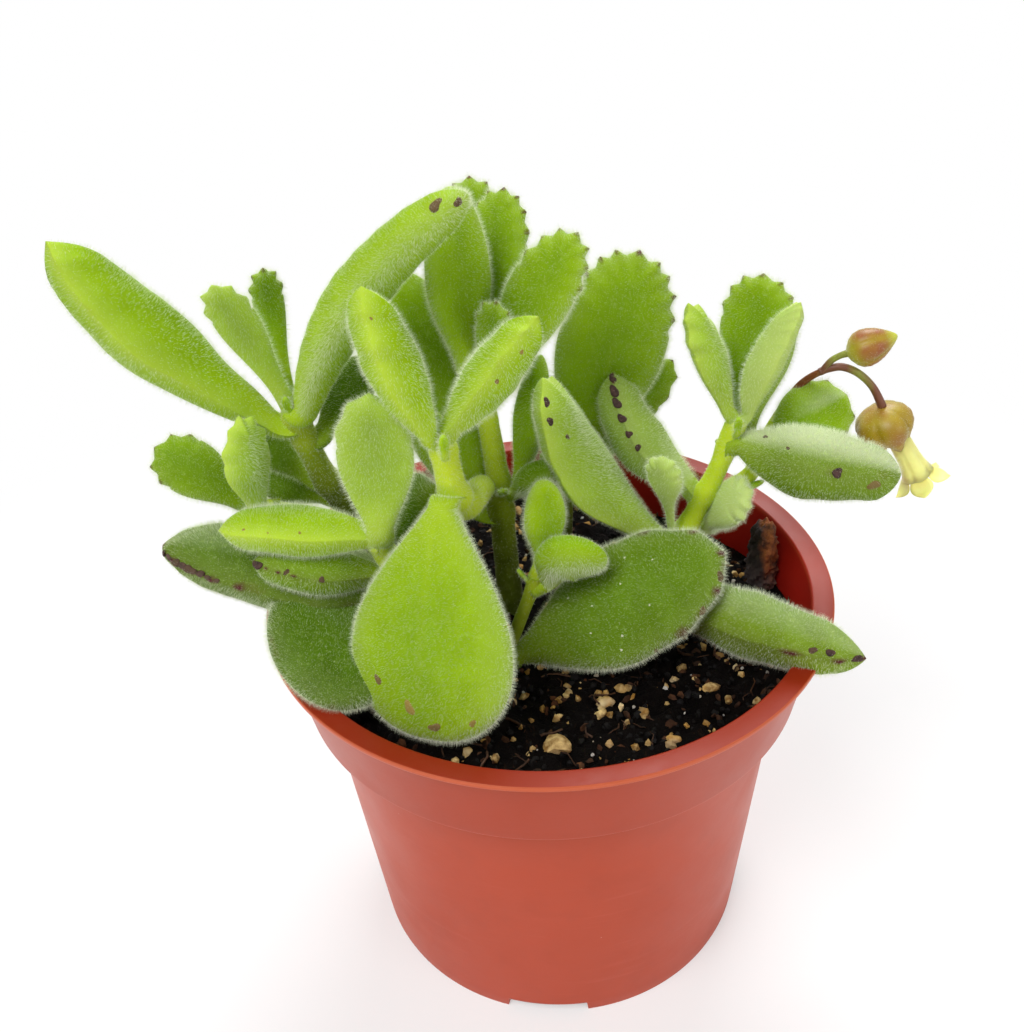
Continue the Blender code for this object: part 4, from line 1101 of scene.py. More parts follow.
def scatter_tree(name, fibres):
    """A tree that scatters crumbs or fibres over a surface. Its inputs are their sizes."""
    inputs = (
        ("Surface", "Geometry"), ("Density", "Float", 1000.0), ("Smallest", "Float", 0.3),
        ("Size", "Float", 0.001), ("Flatness", "Float", 0.6), ("Jagged", "Float", 0.0002),
        ("Seed", "Int", 1), ("Material", "Material"),
    )
    graph, given, out = new_group(name, inputs, (("Result", "Geometry"),), "GeometryNodeTree")
    spread = graph.scattered(given["Surface"], given["Density"], given["Seed"])
    size = graph.random(graph.times(given["Smallest"], given["Size"]), given["Size"], 7)
    if fibres:
        line = graph.add("GeometryNodeCurvePrimitiveBezierSegment", {
            "Resolution": 4, "Start": (-0.5, 0, 0), "Start Handle": (-0.2, 0.35, 0.1),
            "End Handle": (0.2, -0.3, 0.15), "End": (0.5, 0.05, 0),
        })
        ring = graph.add("GeometryNodeCurvePrimitiveCircle", {"Resolution": 3, "Radius": 0.035})
        form = graph.add("GeometryNodeCurveToMesh", {"Curve": line, "Profile Curve": ring, "Fill Caps": True})
        turn = graph.random((-0.45, -0.45, 0), (0.45, 0.45, math.tau), 3, "FLOAT_VECTOR")
        scale = size
    else:
        form = graph.add("GeometryNodeMeshIcoSphere", {"Radius": 0.5, "Subdivisions": 1})
        turn = graph.random((0, 0, 0), (math.tau, math.tau, math.tau), 3, "FLOAT_VECTOR")
        flat = graph.times(size, given["Flatness"])
        scale = graph.add("ShaderNodeCombineXYZ", {0: size, 1: graph.times(size, 0.8), 2: flat})
    placed = graph.add("GeometryNodeInstanceOnPoints", {
        "Points": spread["Points"], "Instance": form, "Scale": scale,
        "Rotation": graph.add("FunctionNodeEulerToRotation", {0: turn}),
    })
    shaded = graph.add("GeometryNodeStoreNamedAttribute", {
        "Geometry": placed, "Name": "shade", "Value": graph.random(0.0, 1.0, 11),
    }, data_type="FLOAT", domain="INSTANCE")
    whole = graph.add("GeometryNodeRealizeInstances", {"Geometry": shaded})
    rough = graph.add("ShaderNodeTexNoise", {"Scale": 1400.0, "Detail": 1.0}, out="Color")
    pushed = graph.add("ShaderNodeVectorMath", {0: rough, 1: (0.5, 0.5, 0.5)}, operation="SUBTRACT")
    offset = graph.add("ShaderNodeVectorMath", {0: pushed, "Scale": given["Jagged"]}, operation="SCALE")
    moved = graph.add("GeometryNodeSetPosition", {"Geometry": whole, "Offset": offset})
    painted = graph.add("GeometryNodeSetMaterial", {"Geometry": moved, "Material": given["Material"]})
    graph.link(painted, out["Result"])
    return graph.tree


def soil_patch(soil, edge):
    """A plain sheet on the soil's surface for things to lie on."""
    sides = 96
    rings = []
    for radius in np.linspace(0.5, edge, 30):
        x, y = (circle(sides)[1] * radius).T
        rings.append(np.column_stack([x, y, soil_height(x, y, soil)]))
    mesh = bpy.data.meshes.new("soil_patch")
    mesh.from_pydata((np.concatenate(rings) * MM).tolist(), [], ring_faces(len(rings), sides))
    return show("soil_patch", mesh)


def pebble(x, y, size, flatness, soil, seed):
    """Points and faces of one grit stone lying on the soil."""
    ball = bmesh.new()
    bmesh.ops.create_icosphere(ball, subdivisions=3, radius=0.5)
    points = np.array([vertex.co for vertex in ball.verts])
    faces = [[vertex.index for vertex in face.verts] for face in ball.faces]
    ball.free()
    grow = 1.12 + 0.20 * wobble(points, 2.6, seed) + 0.08 * wobble(points, 7.0, seed + 3)
    facets = points.copy()
    for cut in range(11):
        turn, tip = 2.4 * cut + seed, math.sin(1.7 * cut + 0.9 * seed)
        way = np.array([math.cos(turn) * math.cos(tip), math.sin(turn) * math.cos(tip), math.sin(tip)])
        beyond = np.maximum(facets @ way - (0.36 + 0.05 * math.sin(3.1 * cut + seed)), 0)
        facets = facets - 0.85 * beyond[:, None] * way
    points = facets * grow[:, None] * size * np.array([1.2, 0.85 + 0.1 * math.sin(seed), flatness * 1.2])
    turn = seed * 1.3
    spin = np.array([
        [math.cos(turn), -math.sin(turn), 0], [math.sin(turn), math.cos(turn), 0], [0, 0, 1.0],
    ])
    points = points @ spin.T
    return points + np.array([x, y, soil_height(x, y, soil) + 0.22 * size * flatness]), faces


class COTYLEDON_OT_grit(bpy.types.Operator):
    """Scatters peat crumbs, fibres and grit over the soil, and lays the larger stones"""

    bl_idname = "cotyledon.grit"
    bl_label = "Grit and peat"

    def execute(self, context):
        soil, pot = context.scene.cotyledon_soil, context.scene.cotyledon_pot
        edge = wall_radius(1000 * soil.level - 4, pot) - 1000 * pot.wall - 1.2
        patch = soil_patch(soil, edge)
        peat, grit, fibre = np.array(soil.peat), np.array(soil.grit), np.array(soil.fibre)
        grit_paint = stone_material("grit_stone", grit, grit * (0.26, 0.18, 0.10))
        peat_paint = stone_material("peat_crumb", peat * 1.5, peat * 0.4, 0.7)
        bark_paint = stone_material("bark_bit", TINTS["light bark bit"], TINTS["dark bark bit"], 0.8)
        white_paint = stone_material("perlite", TINTS["light perlite"], TINTS["dark perlite"])
        fibre_paint = stone_material("peat_fibre", fibre * 2.2, fibre * 0.4, 0.65)
        crumb, strand = scatter_tree("Scattered crumbs", False), scatter_tree("Scattered fibres", True)
        titles = ("Material", "Density", "Smallest", "Size", "Flatness", "Jagged", "Seed")
        for name, tree, *row in (
            ("peat_crumbs", crumb, peat_paint, soil.crumbs * 1e4, 0.2, 0.0017, 0.7, 0.0009, 1),
            ("grit_grains", crumb, grit_paint, soil.grains * 1e3, 0.2, 0.0021, 0.7, 0.0011, 2),
            ("perlite_grains", crumb, white_paint, 26e3, 0.3, 0.0011, 0.8, 0.0003, 5),
            ("bark_bits", crumb, bark_paint, 90e3, 0.3, 0.0022, 0.35, 0.0008, 6),
            ("peat_fibres", strand, fibre_paint, soil.fibres * 1e3, 0.3, 0.0062, 1.0, 0.0004, 4),
        ):
            finish_piece(grown(name, patch, tree, dict(zip(titles, row))))
        bpy.data.objects.remove(patch)
        forms = []
        for index, (x, y, size, flatness) in enumerate(STONES):
            points, faces = pebble(x, y, size, flatness, soil, index)
            forms.append((points, faces, np.full(len(points), 0.35 + 0.35 * math.sin(2.1 * index))))
        points, faces, shades = merged(forms)
        mesh = mesh_of("grit_stones", points, faces, {"shade": shades})
        finish_piece(show("grit_stones", mesh, grit_paint, 45))
        return {"FINISHED"}


# ---------------------------------------------------------------- stems
def between(before, start, end, after, t):
    """Catmull-Rom value a share t of the way from start to end."""
    slope = end - before
    bend = 2 * before - 5 * start + 4 * end - after
    twist = 3 * start - before - 3 * end + after
    return 0.5 * (2 * start + slope * t + bend * t * t + twist * t ** 3)


def smooth_path(points, steps, soil):
    """A smooth line through (x, y, z, radius) rows, ends included. A z of 0 starts in the soil."""
    rows = np.array(points, float)
    if rows[0, 2] == 0:
        rows[0, 2] = soil_height(rows[0, 0], rows[0, 1], soil) - 1.5
    padded = np.vstack([rows[0], rows, rows[-1]])
    path = []
    for index in range(len(rows) - 1):
        a, b, c, d = padded[index:index + 4]
        path += [between(a, b, c, d, step / steps) for step in range(steps)]
    return np.array([*path, rows[-1]])


def tube_form(path, sides):
    """Points and faces of a closed tube along (x, y, z, radius) rows, with a rounded far end."""
    centres, radii = path[:, :3], path[:, 3]
    along = np.gradient(centres, axis=0)
    along /= np.linalg.norm(along, axis=1)[:, None]
    end, way, radius = centres[-1], along[-1], radii[-1]
    for angle in (30, 55, 75, 86):
        lifted = end + way * radius * math.sin(math.radians(angle)) * 0.8
        centres = np.vstack([centres, lifted])
        radii = np.append(radii, radius * math.cos(math.radians(angle)))
        along = np.vstack([along, way])
    side = np.array([1.0, 0.0, 0.0])
    rings = []
    for centre, way, radius in zip(centres, along, radii):
        side = unit(side - way * (side @ way))
        rings.append(centre + spokes_round(sides, side, np.cross(way, side)) * radius)
    return capped(rings, sides)


def stem_paths(context):
    """Every stem's smoothed line, swollen where leaves join it."""
    soil, plant = context.scene.cotyledon_soil, context.scene.cotyledon_plant
    paths = {}
    for name, points in STEMS.items():
        path = smooth_path(points, 10, soil)
        joints = sorted({row[1] for row in [*LEAVES.values(), *SPROUTS.values()] if row[0] == name})
        swell = np.zeros(len(path))
        for joint in joints:
            swell = np.maximum(swell, np.exp(-((path[:, 2] - joint + 0.8) / 1.5) ** 2))
        path[:, 3] *= 1 + plant.node_swelling * swell + 0.03 * wobble(path[:, :3], 0.8, 2)
        paths[name] = path
    return paths


class COTYLEDON_OT_stems(bpy.types.Operator):
    """Makes the fleshy stems and their swollen nodes"""

    bl_idname = "cotyledon.stems"
    bl_label = "Stems"

    def execute(self, context):
        paint = stem_material(context.scene.cotyledon_plant)
        for name, path in stem_paths(context).items():
            points, faces = tube_form(path, 20)
            height, even = points[:, 2], np.ones(len(points))
            hairy = 0.55 * np.clip((height - HAIRY_FROM) / HAIRY_OVER, 0.02, 1.0)
            if name == "flower_stem":
                hairy = hairy * np.clip((BALD_FROM - height) / 3, 0.05, 1)
            ruddy = np.clip((height - RUDDY_FROM) / 3, 0, 1) * (name == "flower_stem")
            values = {"hairy": hairy, "age": STEM_AGE[name] * even, "hair_reach": 0.45 * even, "ruddy": ruddy}
            mesh = mesh_of(f"{name}_skin", points, faces, values)
            finish_piece(show(f"{name}_skin", mesh, paint), (name,))
        return {"FINISHED"}


# ---------------------------------------------------------------- leaves
def point_at_height(path, height):
    """(point, radius) where a rising stem passes a height, or its top end raised to that height."""
    for low, high in zip(path, path[1:]):
        if low[2] <= height <= high[2]:
            at = low + (high - low) * (height - low[2]) / max(high[2] - low[2], 1e-6)
            return at[:3], at[3]
    return np.array([*path[-1][:2], height]), 0.0


STALK_ROWS = 16
TOOTHED_ARC = 64.0
SPINE_SHARE = 0.62


class Blade:
    """One leaf's place and form, in millimetres."""

    def __init__(self, row, paths):
        stem, height, azimuth, rise, reach, width, thickness, roll, bow, outline, age, bloom, pale = row
        self.length, self.width, self.thickness, self.bow = reach, width, thickness, bow
        self.age, self.bloom, self.pale = age, bloom, pale
        self.outline = {**PLAIN_OUTLINE, **OUTLINES[outline]}
        self.neck = min(0.16 * width + 0.3, 2.0) * (0.5 if outline == "stalked" else 1.0)
        self.neck_depth = min(self.neck, 0.42 * thickness)
        heading, climb = math.radians(azimuth), math.radians(rise)
        outward = np.array([math.cos(heading), math.sin(heading), 0.0])
        self.along = outward * math.cos(climb) + np.array([0, 0, math.sin(climb)])
        plain = smooth_path(STEMS[stem], 2, bpy.context.scene.cotyledon_soil)
        on_stem, stem_radius = point_at_height(plain, height)
        gap = stem_radius + 0.7 + self.neck_depth * abs(math.sin(climb))
        self.base = on_stem + outward * gap
        inner, inner_radius = point_at_height(paths[stem], height - 0.8 - 1.2 * max(math.sin(climb), 0))
        self.root = inner + outward * 0.2 * stem_radius
        if inner_radius == 0:
            end = paths[stem][-1 if height > paths[stem][0][2] + 5 else 0]
            self.root = end[:3] + outward * 0.2
        upper = Vector(unit(np.array([0, 0, 1.0]) - self.along * self.along[2]))
        upper.rotate(Matrix.Rotation(math.radians(roll), 3, Vector(self.along)))
        self.upper = np.array(upper)
        self.across = np.cross(self.upper, self.along)
        self.seed = (azimuth * 7 + height * 13) % 17

    def place(self, a, b, c):
        """World places of points a along the blade, b across it and c above its middle surface."""
        a, b, c = np.broadcast_arrays(np.asarray(a, float), b, c)
        u = a / self.length
        slope = 4 * self.bow / self.length * (1 - 2 * u)
        lean = self.upper - self.along * slope[..., None]
        lean = lean / np.linalg.norm(lean, axis=-1, keepdims=True)
        middle = self.base + self.along * a[..., None] + self.upper * (4 * self.bow * u * (1 - u))[..., None]
        twist = 0.10 * math.sin(self.seed) * u * u
        side = self.across + self.upper * twist[..., None]
        sway = 0.012 * self.length * math.sin(2.1 * self.seed) * np.sin(math.pi * u)
        return middle + side * b[..., None] + lean * c[..., None] + self.across * sway[..., None]

    def margin(self):
        """Rows from the stalk to the tip: reach, half width, spine and how much it is a tooth's point."""
        shape, half, quarter = self.outline, self.width / 2, math.pi / 2
        middle = self.length * shape["widest"]
        rows = []
        for step in range(STALK_ROWS):
            t = step / STALK_ROWS
            across = self.neck + (half - self.neck) * math.sin(0.5 * math.pi * t) ** shape["waist"]
            rows.append((middle * t, across, middle * t, 0.0))
        end = self.length * (1 - shape["widest"])
        side_teeth = shape["teeth"] // 2
        total = 6 * (side_teeth + 1) + 4 if side_teeth else 22
        pitch = math.radians(TOOTHED_ARC) / side_teeth if side_teeth else 1.0
        start = quarter - pitch * (side_teeth + 0.5)
        for step in range(total + 1):
            turn, lift, point = quarter * step / total, 0.0, 0.0
            if side_teeth:
                turn = start * step / 4 if step < 4 else start + (quarter - start) * (step - 4) / (total - 4)
            if side_teeth and turn >= start:
                from_peak = abs((quarter - turn) / pitch % 1.0)
                from_peak = min(from_peak, 1 - from_peak)
                lift = shape["tooth"] * (0.7 - (2 * from_peak) ** 0.65)
                point = max(1 - (2.6 if shape["edge"] > 1.2 else 5) * from_peak, 0.0)
            across = half * max(math.cos(turn), 0.0) ** shape["taper"]
            along = end * math.sin(turn)
            normal = Vector((along / (end * end), across / (half * half))).normalized()
            spine = middle + SPINE_SHARE * end * math.sin(turn)
            reach = middle + along + normal.x * lift
            rows.append((reach, max(across + normal.y * lift, 0.0), spine, point))
        rows[-1] = (rows[-1][0], 0.0, *rows[-1][2:])
        return np.array(rows)

    def depth(self, spine):
        """Half the blade's thickness over a point of its spine."""
        shape = self.outline
        grow = np.minimum(spine / (self.length * shape["widest"]), 1.0)
        beyond = np.maximum(spine / self.length - shape["widest"], 0) / (1 - shape["widest"])
        swell = np.sin(0.5 * math.pi * grow) ** max(shape["waist"] / 3, 1.0)
        full = self.neck_depth + (self.thickness / 2 - self.neck_depth) * swell
        return full * (1 - 0.35 * beyond)

    def skin(self, share_along, turn):
        """World places on the blade's surface, at shares of its length and angles round it."""
        rows = self.margin()
        spine = np.asarray(share_along, float) * self.length
        order = rows[:, 2]
        reach, half = np.interp(spine, order, rows[:, 0]), np.interp(spine, order, rows[:, 1])
        p, c = np.sin(turn), np.cos(turn)
        lens = np.sign(c) * np.abs(c) ** self.outline["edge"]
        return self.place(spine + (reach - spine) * np.abs(p), half * p, self.depth(spine) * lens)

    def spot(self, share_along, turn, radius):
        """Points and faces of a low, uneven dome on the skin."""
        shares = np.array([share_along, share_along + 0.02, share_along])
        near = self.skin(shares, np.array([turn, turn, turn + 0.1]))
        forward = unit(near[1] - near[0])
        out = unit(np.cross(forward, near[2] - near[0]))
        top, underside = self.skin(shares[[0, 2]], np.array([0.0, math.pi]))
        if out @ (near[0] - 0.5 * (top + underside)) < 0:
            out = -out
        sideways = np.cross(out, forward)
        sides = 14
        angle = circle(sides)[0]
        ragged = 1 + 0.18 * np.sin(2 * angle + 9 * share_along) + 0.12 * np.sin(3 * angle + 5 * turn)
        flat = np.outer(np.cos(angle) * ragged, forward * 1.15)
        flat = flat + np.outer(np.sin(angle) * ragged, sideways * 0.9)
        rings = []
        for size, lift in ((1.15, -0.25), (1.0, 0.04), (0.8, 0.16), (0.5, 0.20), (0.22, 0.12)):
            bend = -0.10 * radius * size * size
            rings.append(near[0] + radius * size * flat + out * (lift * min(radius, 1.0) + bend))
        return capped(rings, sides)

    def form(self, sides=32):
        """Points, faces and point values of the closed blade and its stalk."""
        rows = self.margin()
        turn = np.arange(sides) * math.tau / sides
        p, c = np.sin(turn), np.cos(turn)
        lens = np.sign(c) * np.abs(c) ** self.outline["edge"]
        reach, half, spine, point = (rows[:, [index]] for index in range(4))
        depth = self.depth(spine)
        a = spine + (reach - spine) * np.abs(p)
        points = self.place(a, half * p, depth * lens)
        ripple = wobble(points.reshape(-1, 3), 0.35, self.seed).reshape(points.shape[:2])
        points = points + self.upper * (0.025 * self.thickness * ripple)[..., None]
        along = np.clip(a / self.length, 0, 1)
        margin = np.abs(p) * np.ones_like(a)
        keen = min(max(self.outline["edge"] - 1.0, 0.0) / 0.5, 1.0)
        ridge = keen * np.clip((np.abs(p) - 0.78) / 0.22, 0, 1) * np.ones_like(a)
        way = points - self.place(a, 0 * p, 0 * p)
        crown = np.clip(way[..., 2] / np.maximum(np.linalg.norm(way, axis=-1), 1e-6), 0, 1) ** 2
        tooth = point * np.clip((np.abs(p) - 0.86 - 0.06 * keen) / 0.08, 0, 1)
        rise = np.linalg.norm(self.base - self.root)
        control = self.base - self.along * 0.55 * rise
        stalk = []
        for t in (0.0, 0.2, 0.4, 0.6, 0.8):
            middle = self.root * (1 - t) ** 2 + control * 2 * t * (1 - t) + self.base * t * t
            swell = 1.0 + 0.12 * (1 - t)
            wide, deep = p * self.neck * swell, lens * self.neck_depth * swell
            stalk.append(middle + np.outer(wide, self.across) + np.outer(deep, self.upper))
        points = np.concatenate([np.array(stalk), points[:-1]]).reshape(-1, 3)
        tip = self.place(a[-1], 0 * p, depth[-1] * lens)[: sides // 2 + 1]
        first_tip = len(points)
        faces = ring_faces(first_tip // sides, sides)
        for step in range(sides):
            after = (step + 1) % sides
            tips = [first_tip + min(side, sides - side) for side in (after, step)]
            faces.append([first_tip - sides + step, first_tip - sides + after, *tips])
        faces.append(list(range(sides))[::-1])

        def whole(values, at_stalk=0.0):
            start = np.full(len(stalk) * sides, at_stalk)
            return np.concatenate([start, values[:-1].ravel(), values[-1][: sides // 2 + 1]])

        margins, crowns = whole(margin, 0.5), whole(crown)
        rim = np.clip(margins - 0.85, 0, 1) / 0.15 * (1 - keen)
        hairy = self.outline["fur"] * (0.62 + 1.4 * rim + keen * (0.9 * (1 - margins) - 0.25))
        even = np.ones(len(margins))
        values = {
            "along": whole(along), "margin": margins, "tooth": whole(tooth), "ridge": whole(ridge),
            "age": self.age * even, "bloom": self.bloom * even, "pale": self.pale * even, "crown": crowns,
            "hairy": hairy * (1 + self.bloom * (1.4 * crowns - 0.4)),
            "hair_reach": 0.46 + 0.5 * rim + 0.5 * keen * (1 - margins) + 0.3 * self.bloom * crowns,
        }
        return np.vstack([points, tip]), faces, values


class COTYLEDON_OT_leaves(bpy.types.Operator):
    """Makes every fleshy leaf with its stalk and its toothed end"""

    bl_idname = "cotyledon.leaves"
    bl_label = "Leaves"

    def execute(self, context):
        plant = context.scene.cotyledon_plant
        fresh, old = np.array(plant.fresh), np.array(plant.old)
        skin = leaf_material("leaf_skin", plant, fresh, old)
        young_skin = leaf_material("young_leaf_skin", plant, fresh * (1.08, 1.05, 1.2), old * 1.3)
        paths = stem_paths(context)
        for name, (*row, young) in LEAVES.items():
            mesh = mesh_of(f"{name}_blade", *Blade(row, paths).form())
            slot, paint = ("young_leaf", young_skin) if young else ("leaf", skin)
            finish_piece(show(f"{name}_blade", mesh, paint), (name,))
        for name, (*place, outline, age) in SPROUTS.items():
            mesh = mesh_of(name, *Blade((*place, 0, 0, outline, age, 0, 0), paths).form(16))
            finish_piece(show(name, mesh, young_skin))
        return {"FINISHED"}


class COTYLEDON_OT_scars(bpy.types.Operator):
    """Lays the corky scars and dark spots on the older leaves"""

    bl_idname = "cotyledon.scars"
    bl_label = "Scars"

    def execute(self, context):
        paths = stem_paths(context)
        forms, shades = [], []
        for leaf, spots in SCARS.items():
            blade = Blade(LEAVES[leaf][:-1], paths)
            for share_along, turn, radius, shade in spots:
                points, faces = blade.spot(share_along, math.radians(turn), 0.7 * radius)
                forms.append((points, faces, np.full(len(points), shade)))
        points, faces, shades = merged(forms)
        mesh = mesh_of("leaf_scars", points, faces, {"shade": shades})
        finish_piece(show("leaf_scars", mesh, scar_material(context.scene.cotyledon_plant)))
        return {"FINISHED"}


# ---------------------------------------------------------------- flower and stub
def turned_form(start, end, profile, sides, lobes, crease, scallop=0.0):
    """A closed form turned about a line, creased between its lobes and scalloped at its far edge."""
    along, side, other = flower_axes(start, end)
    way = np.array(end, float) - np.array(start, float)
    spokes = spokes_round(sides, side, other)
    seam = np.abs(np.cos(0.5 * lobes * circle(sides)[0]))
    rings, flush = [], []
    for at, radius in profile:
        deep = crease * math.sin(math.pi * min(at, 1.0)) * (1 - seam ** 0.5)
        lift = scallop * max(at - 0.75, 0) * 4 * (seam - 0.6)
        rings.append(start + way * at + spokes * (radius * (1 - deep))[:, None] + along * lift[:, None])
        flush.append(seam ** 1.5 * (0.25 + 0.75 * at) + 0.8 * max(0.12 - at, 0) / 0.12)
    return *capped(rings, sides), np.concatenate(flush)


def lobe_form(centre, along, out, reach, width):
    """One recurved petal: points and faces of a thin closed leaf-shaped sheet."""
    across = np.cross(along, out)
    steps, wide = 14, 8
    u = np.linspace(0, 1, steps)[:, None]
    v = np.linspace(-1, 1, wide)[None, :]
    belly = 0.55 + 0.75 * np.sin(math.pi * np.minimum(u * 0.9 + 0.1, 1.0)) ** 0.8
    half = 0.5 * width * belly * (1 - u ** 5)
    forward = reach * (0.75 * u - 0.35 * u ** 3)
    outward = 2.05 + reach * (0.22 * u + 0.42 * u ** 2.0)
    middle = forward[..., None] * along + outward[..., None] * out
    cup = 0.25 * (v ** 2) * half
    surface = centre + middle + (half * v)[..., None] * across + cup[..., None] * along * -0.6
    normal = np.cross(np.gradient(surface, axis=0), np.gradient(surface, axis=1))
    normal /= np.maximum(np.linalg.norm(normal, axis=-1, keepdims=True), 1e-9)
    edge = np.clip((1 - np.abs(v)) * 3, 0.15, 1) * np.clip((1 - u) * 6, 0.2, 1)
    thick = normal * (0.14 * edge)[..., None]
    points = np.concatenate([(surface + thick).reshape(-1, 3), (surface - thick).reshape(-1, 3)])
    faces = []
    size = steps * wide
    for i in range(steps - 1):
        for j in range(wide - 1):
            a, b, c, d = i * wide + j, i * wide + j + 1, (i + 1) * wide + j + 1, (i + 1) * wide + j
            faces += [[a, b, c, d], [size + d, size + c, size + b, size + a]]
        for j, turn in ((0, 1), (wide - 1, -1)):
            a, d = i * wide + j, (i + 1) * wide + j
            faces.append([a, d, size + d, size + a][::turn])
    for i, turn in ((0, -1), (steps - 1, 1)):
        for j in range(wide - 1):
            a, b = i * wide + j, i * wide + j + 1
            faces.append([a, b, size + b, size + a][::turn])
    flush = np.concatenate([np.repeat(1 - u.ravel(), wide)] * 2) * 0.5
    return points, faces, flush


class COTYLEDON_OT_flower(bpy.types.Operator):
    """Makes the flower stalks, the bud, the calyx and the corolla with its recurved lobes"""

    bl_idname = "cotyledon.flower"
    bl_label = "Flower"

    def execute(self, context):
        flower, soil = context.scene.cotyledon_flower, context.scene.cotyledon_soil
        stalk_paint, sepal_paint, petal_paint = (petal_material(*row) for row in (
            ("flower_stalk_skin", flower.stalk, TINTS["stalk flush"], 300.0, 0.5, 0.05),
            ("sepal_skin", flower.sepal, flower.flush, 420.0, 0.42, 0.05),
            ("petal_skin", flower.petal, TINTS["petal flush"], 380.0, 0.5, 0.3),
        ))
        for name, points in FLOWER_STALKS.items():
            form, faces = tube_form(smooth_path(points, 8, soil), 12)
            x = form[:, 0]
            flush = (x - 43) / 2 if name == "bud_stalk" else 1 - np.abs(x - 49) / 3
            mesh = mesh_of(f"{name}_skin", form, faces, {"flush": np.clip(flush, 0, 1)})
            finish_piece(show(f"{name}_skin", mesh, stalk_paint), (name,))
        for name, ends, profile, crease, scallop, node in (
            ("bud_sepals", BUD, BUD_PROFILE, 0.12, 0.0, "flower_bud"),
            ("calyx_sepals", CALYX, CALYX_PROFILE, 0.16, 2.4, "flower_calyx"),
        ):
            form, faces, flush = turned_form(*ends, profile, 60, flower.lobes, crease, scallop)
            start, end = np.array(ends[0], float), np.array(ends[1], float)
            at = (form - start) @ (end - start) / np.sum((end - start) ** 2)
            pale = np.clip(1 - at / 0.3, 0, 1) * 0.7 + np.clip((at - 0.78) / 0.2, 0, 1)
            if name == "bud_sepals":
                flush = 1.6 * flush * np.clip(1.3 - 2.6 * np.abs(at - 0.42), 0, 1) + 0.25
            else:
                pale = 0.25 * pale
            even = np.ones(len(form))
            values = {"flush": flush, "pale": pale, "hairy": 0.3 * even, "hair_reach": 0.25 * even}
            mesh = mesh_of(name, form, faces, values)
            finish_piece(show(name, mesh, sepal_paint), (node,))
        along, side, other = flower_axes(*COROLLA)
        start = np.array(COROLLA[0], float)
        tube, corners, flush = turned_form(*COROLLA, COROLLA_PROFILE, 40, flower.lobes, 0.15)
        forms = [(tube, corners, 0.35 * flush)]
        for index in range(flower.lobes):
            turn = math.tau * (index + 0.3) / flower.lobes
            out = side * math.cos(turn) + other * math.sin(turn)
            forms.append(lobe_form(start + along * 8.4, along, out, 4.2, 2.8))
        for index in range(STAMENS):
            turn = math.tau * index / STAMENS
            out = side * math.cos(turn) + other * math.sin(turn)
            path = [
                [*(start + along * reach + out * away), radius]
                for reach, away, radius in ((1.5, 0.7, 0.16), (4, 1, 0.14), (6.4, 1.1, 0.2))
            ]
            form, faces = tube_form(np.array(path), 6)
            forms.append((form, faces, np.full(len(form), 0.6)))
        points, faces, flush = merged(forms)
        mesh = mesh_of("corolla_lobes", points, faces, {"flush": flush})
        finish_piece(show("corolla_lobes", mesh, petal_paint), ("flower_corolla",))
        return {"FINISHED"}


class COTYLEDON_OT_stub(bpy.types.Operator):
    """Makes the dead woody stub with its broken top"""

    bl_idname = "cotyledon.stub"
    bl_label = "Woody stub"

    def execute(self, context):
        points, faces = tube_form(smooth_path(STUB, 12, context.scene.cotyledon_soil), 40)
        away = points - STUB_MIDDLE
        flat = np.column_stack([away[:, :2], np.zeros(len(points))])
        ragged = wobble(points, 1.6, 4) * 0.22 + wobble(points, 4.0, 9) * 0.12
        points[:, :2] += away[:, :2] * ragged[:, None]
        top = np.clip((points[:, 2] - STUB_BREAK) / 2, 0, 1)
        points[:, 2] += top * (0.9 * wobble(flat, 2.1, 6) - 0.5)
        mesh = mesh_of("stub_bark", points, faces)
        finish_piece(show("stub_bark", mesh, bark_material(), 40), ("woody_stub",))
        return {"FINISHED"}


# ---------------------------------------------------------------- fuzz
def fuzz_tree():
    """A tree that covers a skin with short hairs, denser where its hairy attribute is larger."""
    inputs = (
        ("Skin", "Geometry"), ("Density", "Float", 1e7), ("Length", "Float", 0.001),
        ("Width", "Float", 0.00002), ("Tilt", "Float", 0.5), ("Seed", "Int", 1), ("Material", "Material"),
    )
    graph, given, out = new_group("Fuzz", inputs, (("Hairs", "Geometry"),), "GeometryNodeTree")
    hairy, reach = (
        graph.add("GeometryNodeInputNamedAttribute", {"Name": name}, data_type="FLOAT")
        for name in ("hairy", "hair_reach")
    )
    spread = graph.scattered(given["Skin"], graph.times(given["Density"], hairy), given["Seed"])
    stand = graph.add("FunctionNodeAlignRotationToVector", {"Vector": spread["Normal"]}, axis="Z")
    tilt, back = given["Tilt"], graph.times(given["Tilt"], -1.0)
    low = graph.add("ShaderNodeCombineXYZ", {0: back, 1: back, 2: 0.0})
    high = graph.add("ShaderNodeCombineXYZ", {0: tilt, 1: tilt, 2: math.tau})
    lean = graph.add("FunctionNodeEulerToRotation", {0: graph.random(low, high, 5, "FLOAT_VECTOR")})
    turned = {"Rotation": stand, "Rotate By": lean}
    leant = graph.add("FunctionNodeRotateRotation", turned, rotation_space="LOCAL")
    hair = graph.add("GeometryNodeMeshCone", {
        "Vertices": 3, "Side Segments": 1, "Radius Top": 0.0, "Radius Bottom": given["Width"],
        "Depth": given["Length"],
    }, fill_type="NGON")
    tall = graph.times(graph.random(0.45, 1.0, 9), reach)
    placed = graph.add("GeometryNodeInstanceOnPoints", {
        "Points": spread["Points"], "Instance": hair, "Rotation": leant,
        "Scale": graph.add("ShaderNodeCombineXYZ", {0: 1.0, 1: 1.0, 2: tall}),
    })
    whole = graph.add("GeometryNodeRealizeInstances", {"Geometry": placed})
    painted = graph.add("GeometryNodeSetMaterial", {"Geometry": whole, "Material": given["Material"]})
    graph.link(painted, out["Hairs"])
    return graph.tree


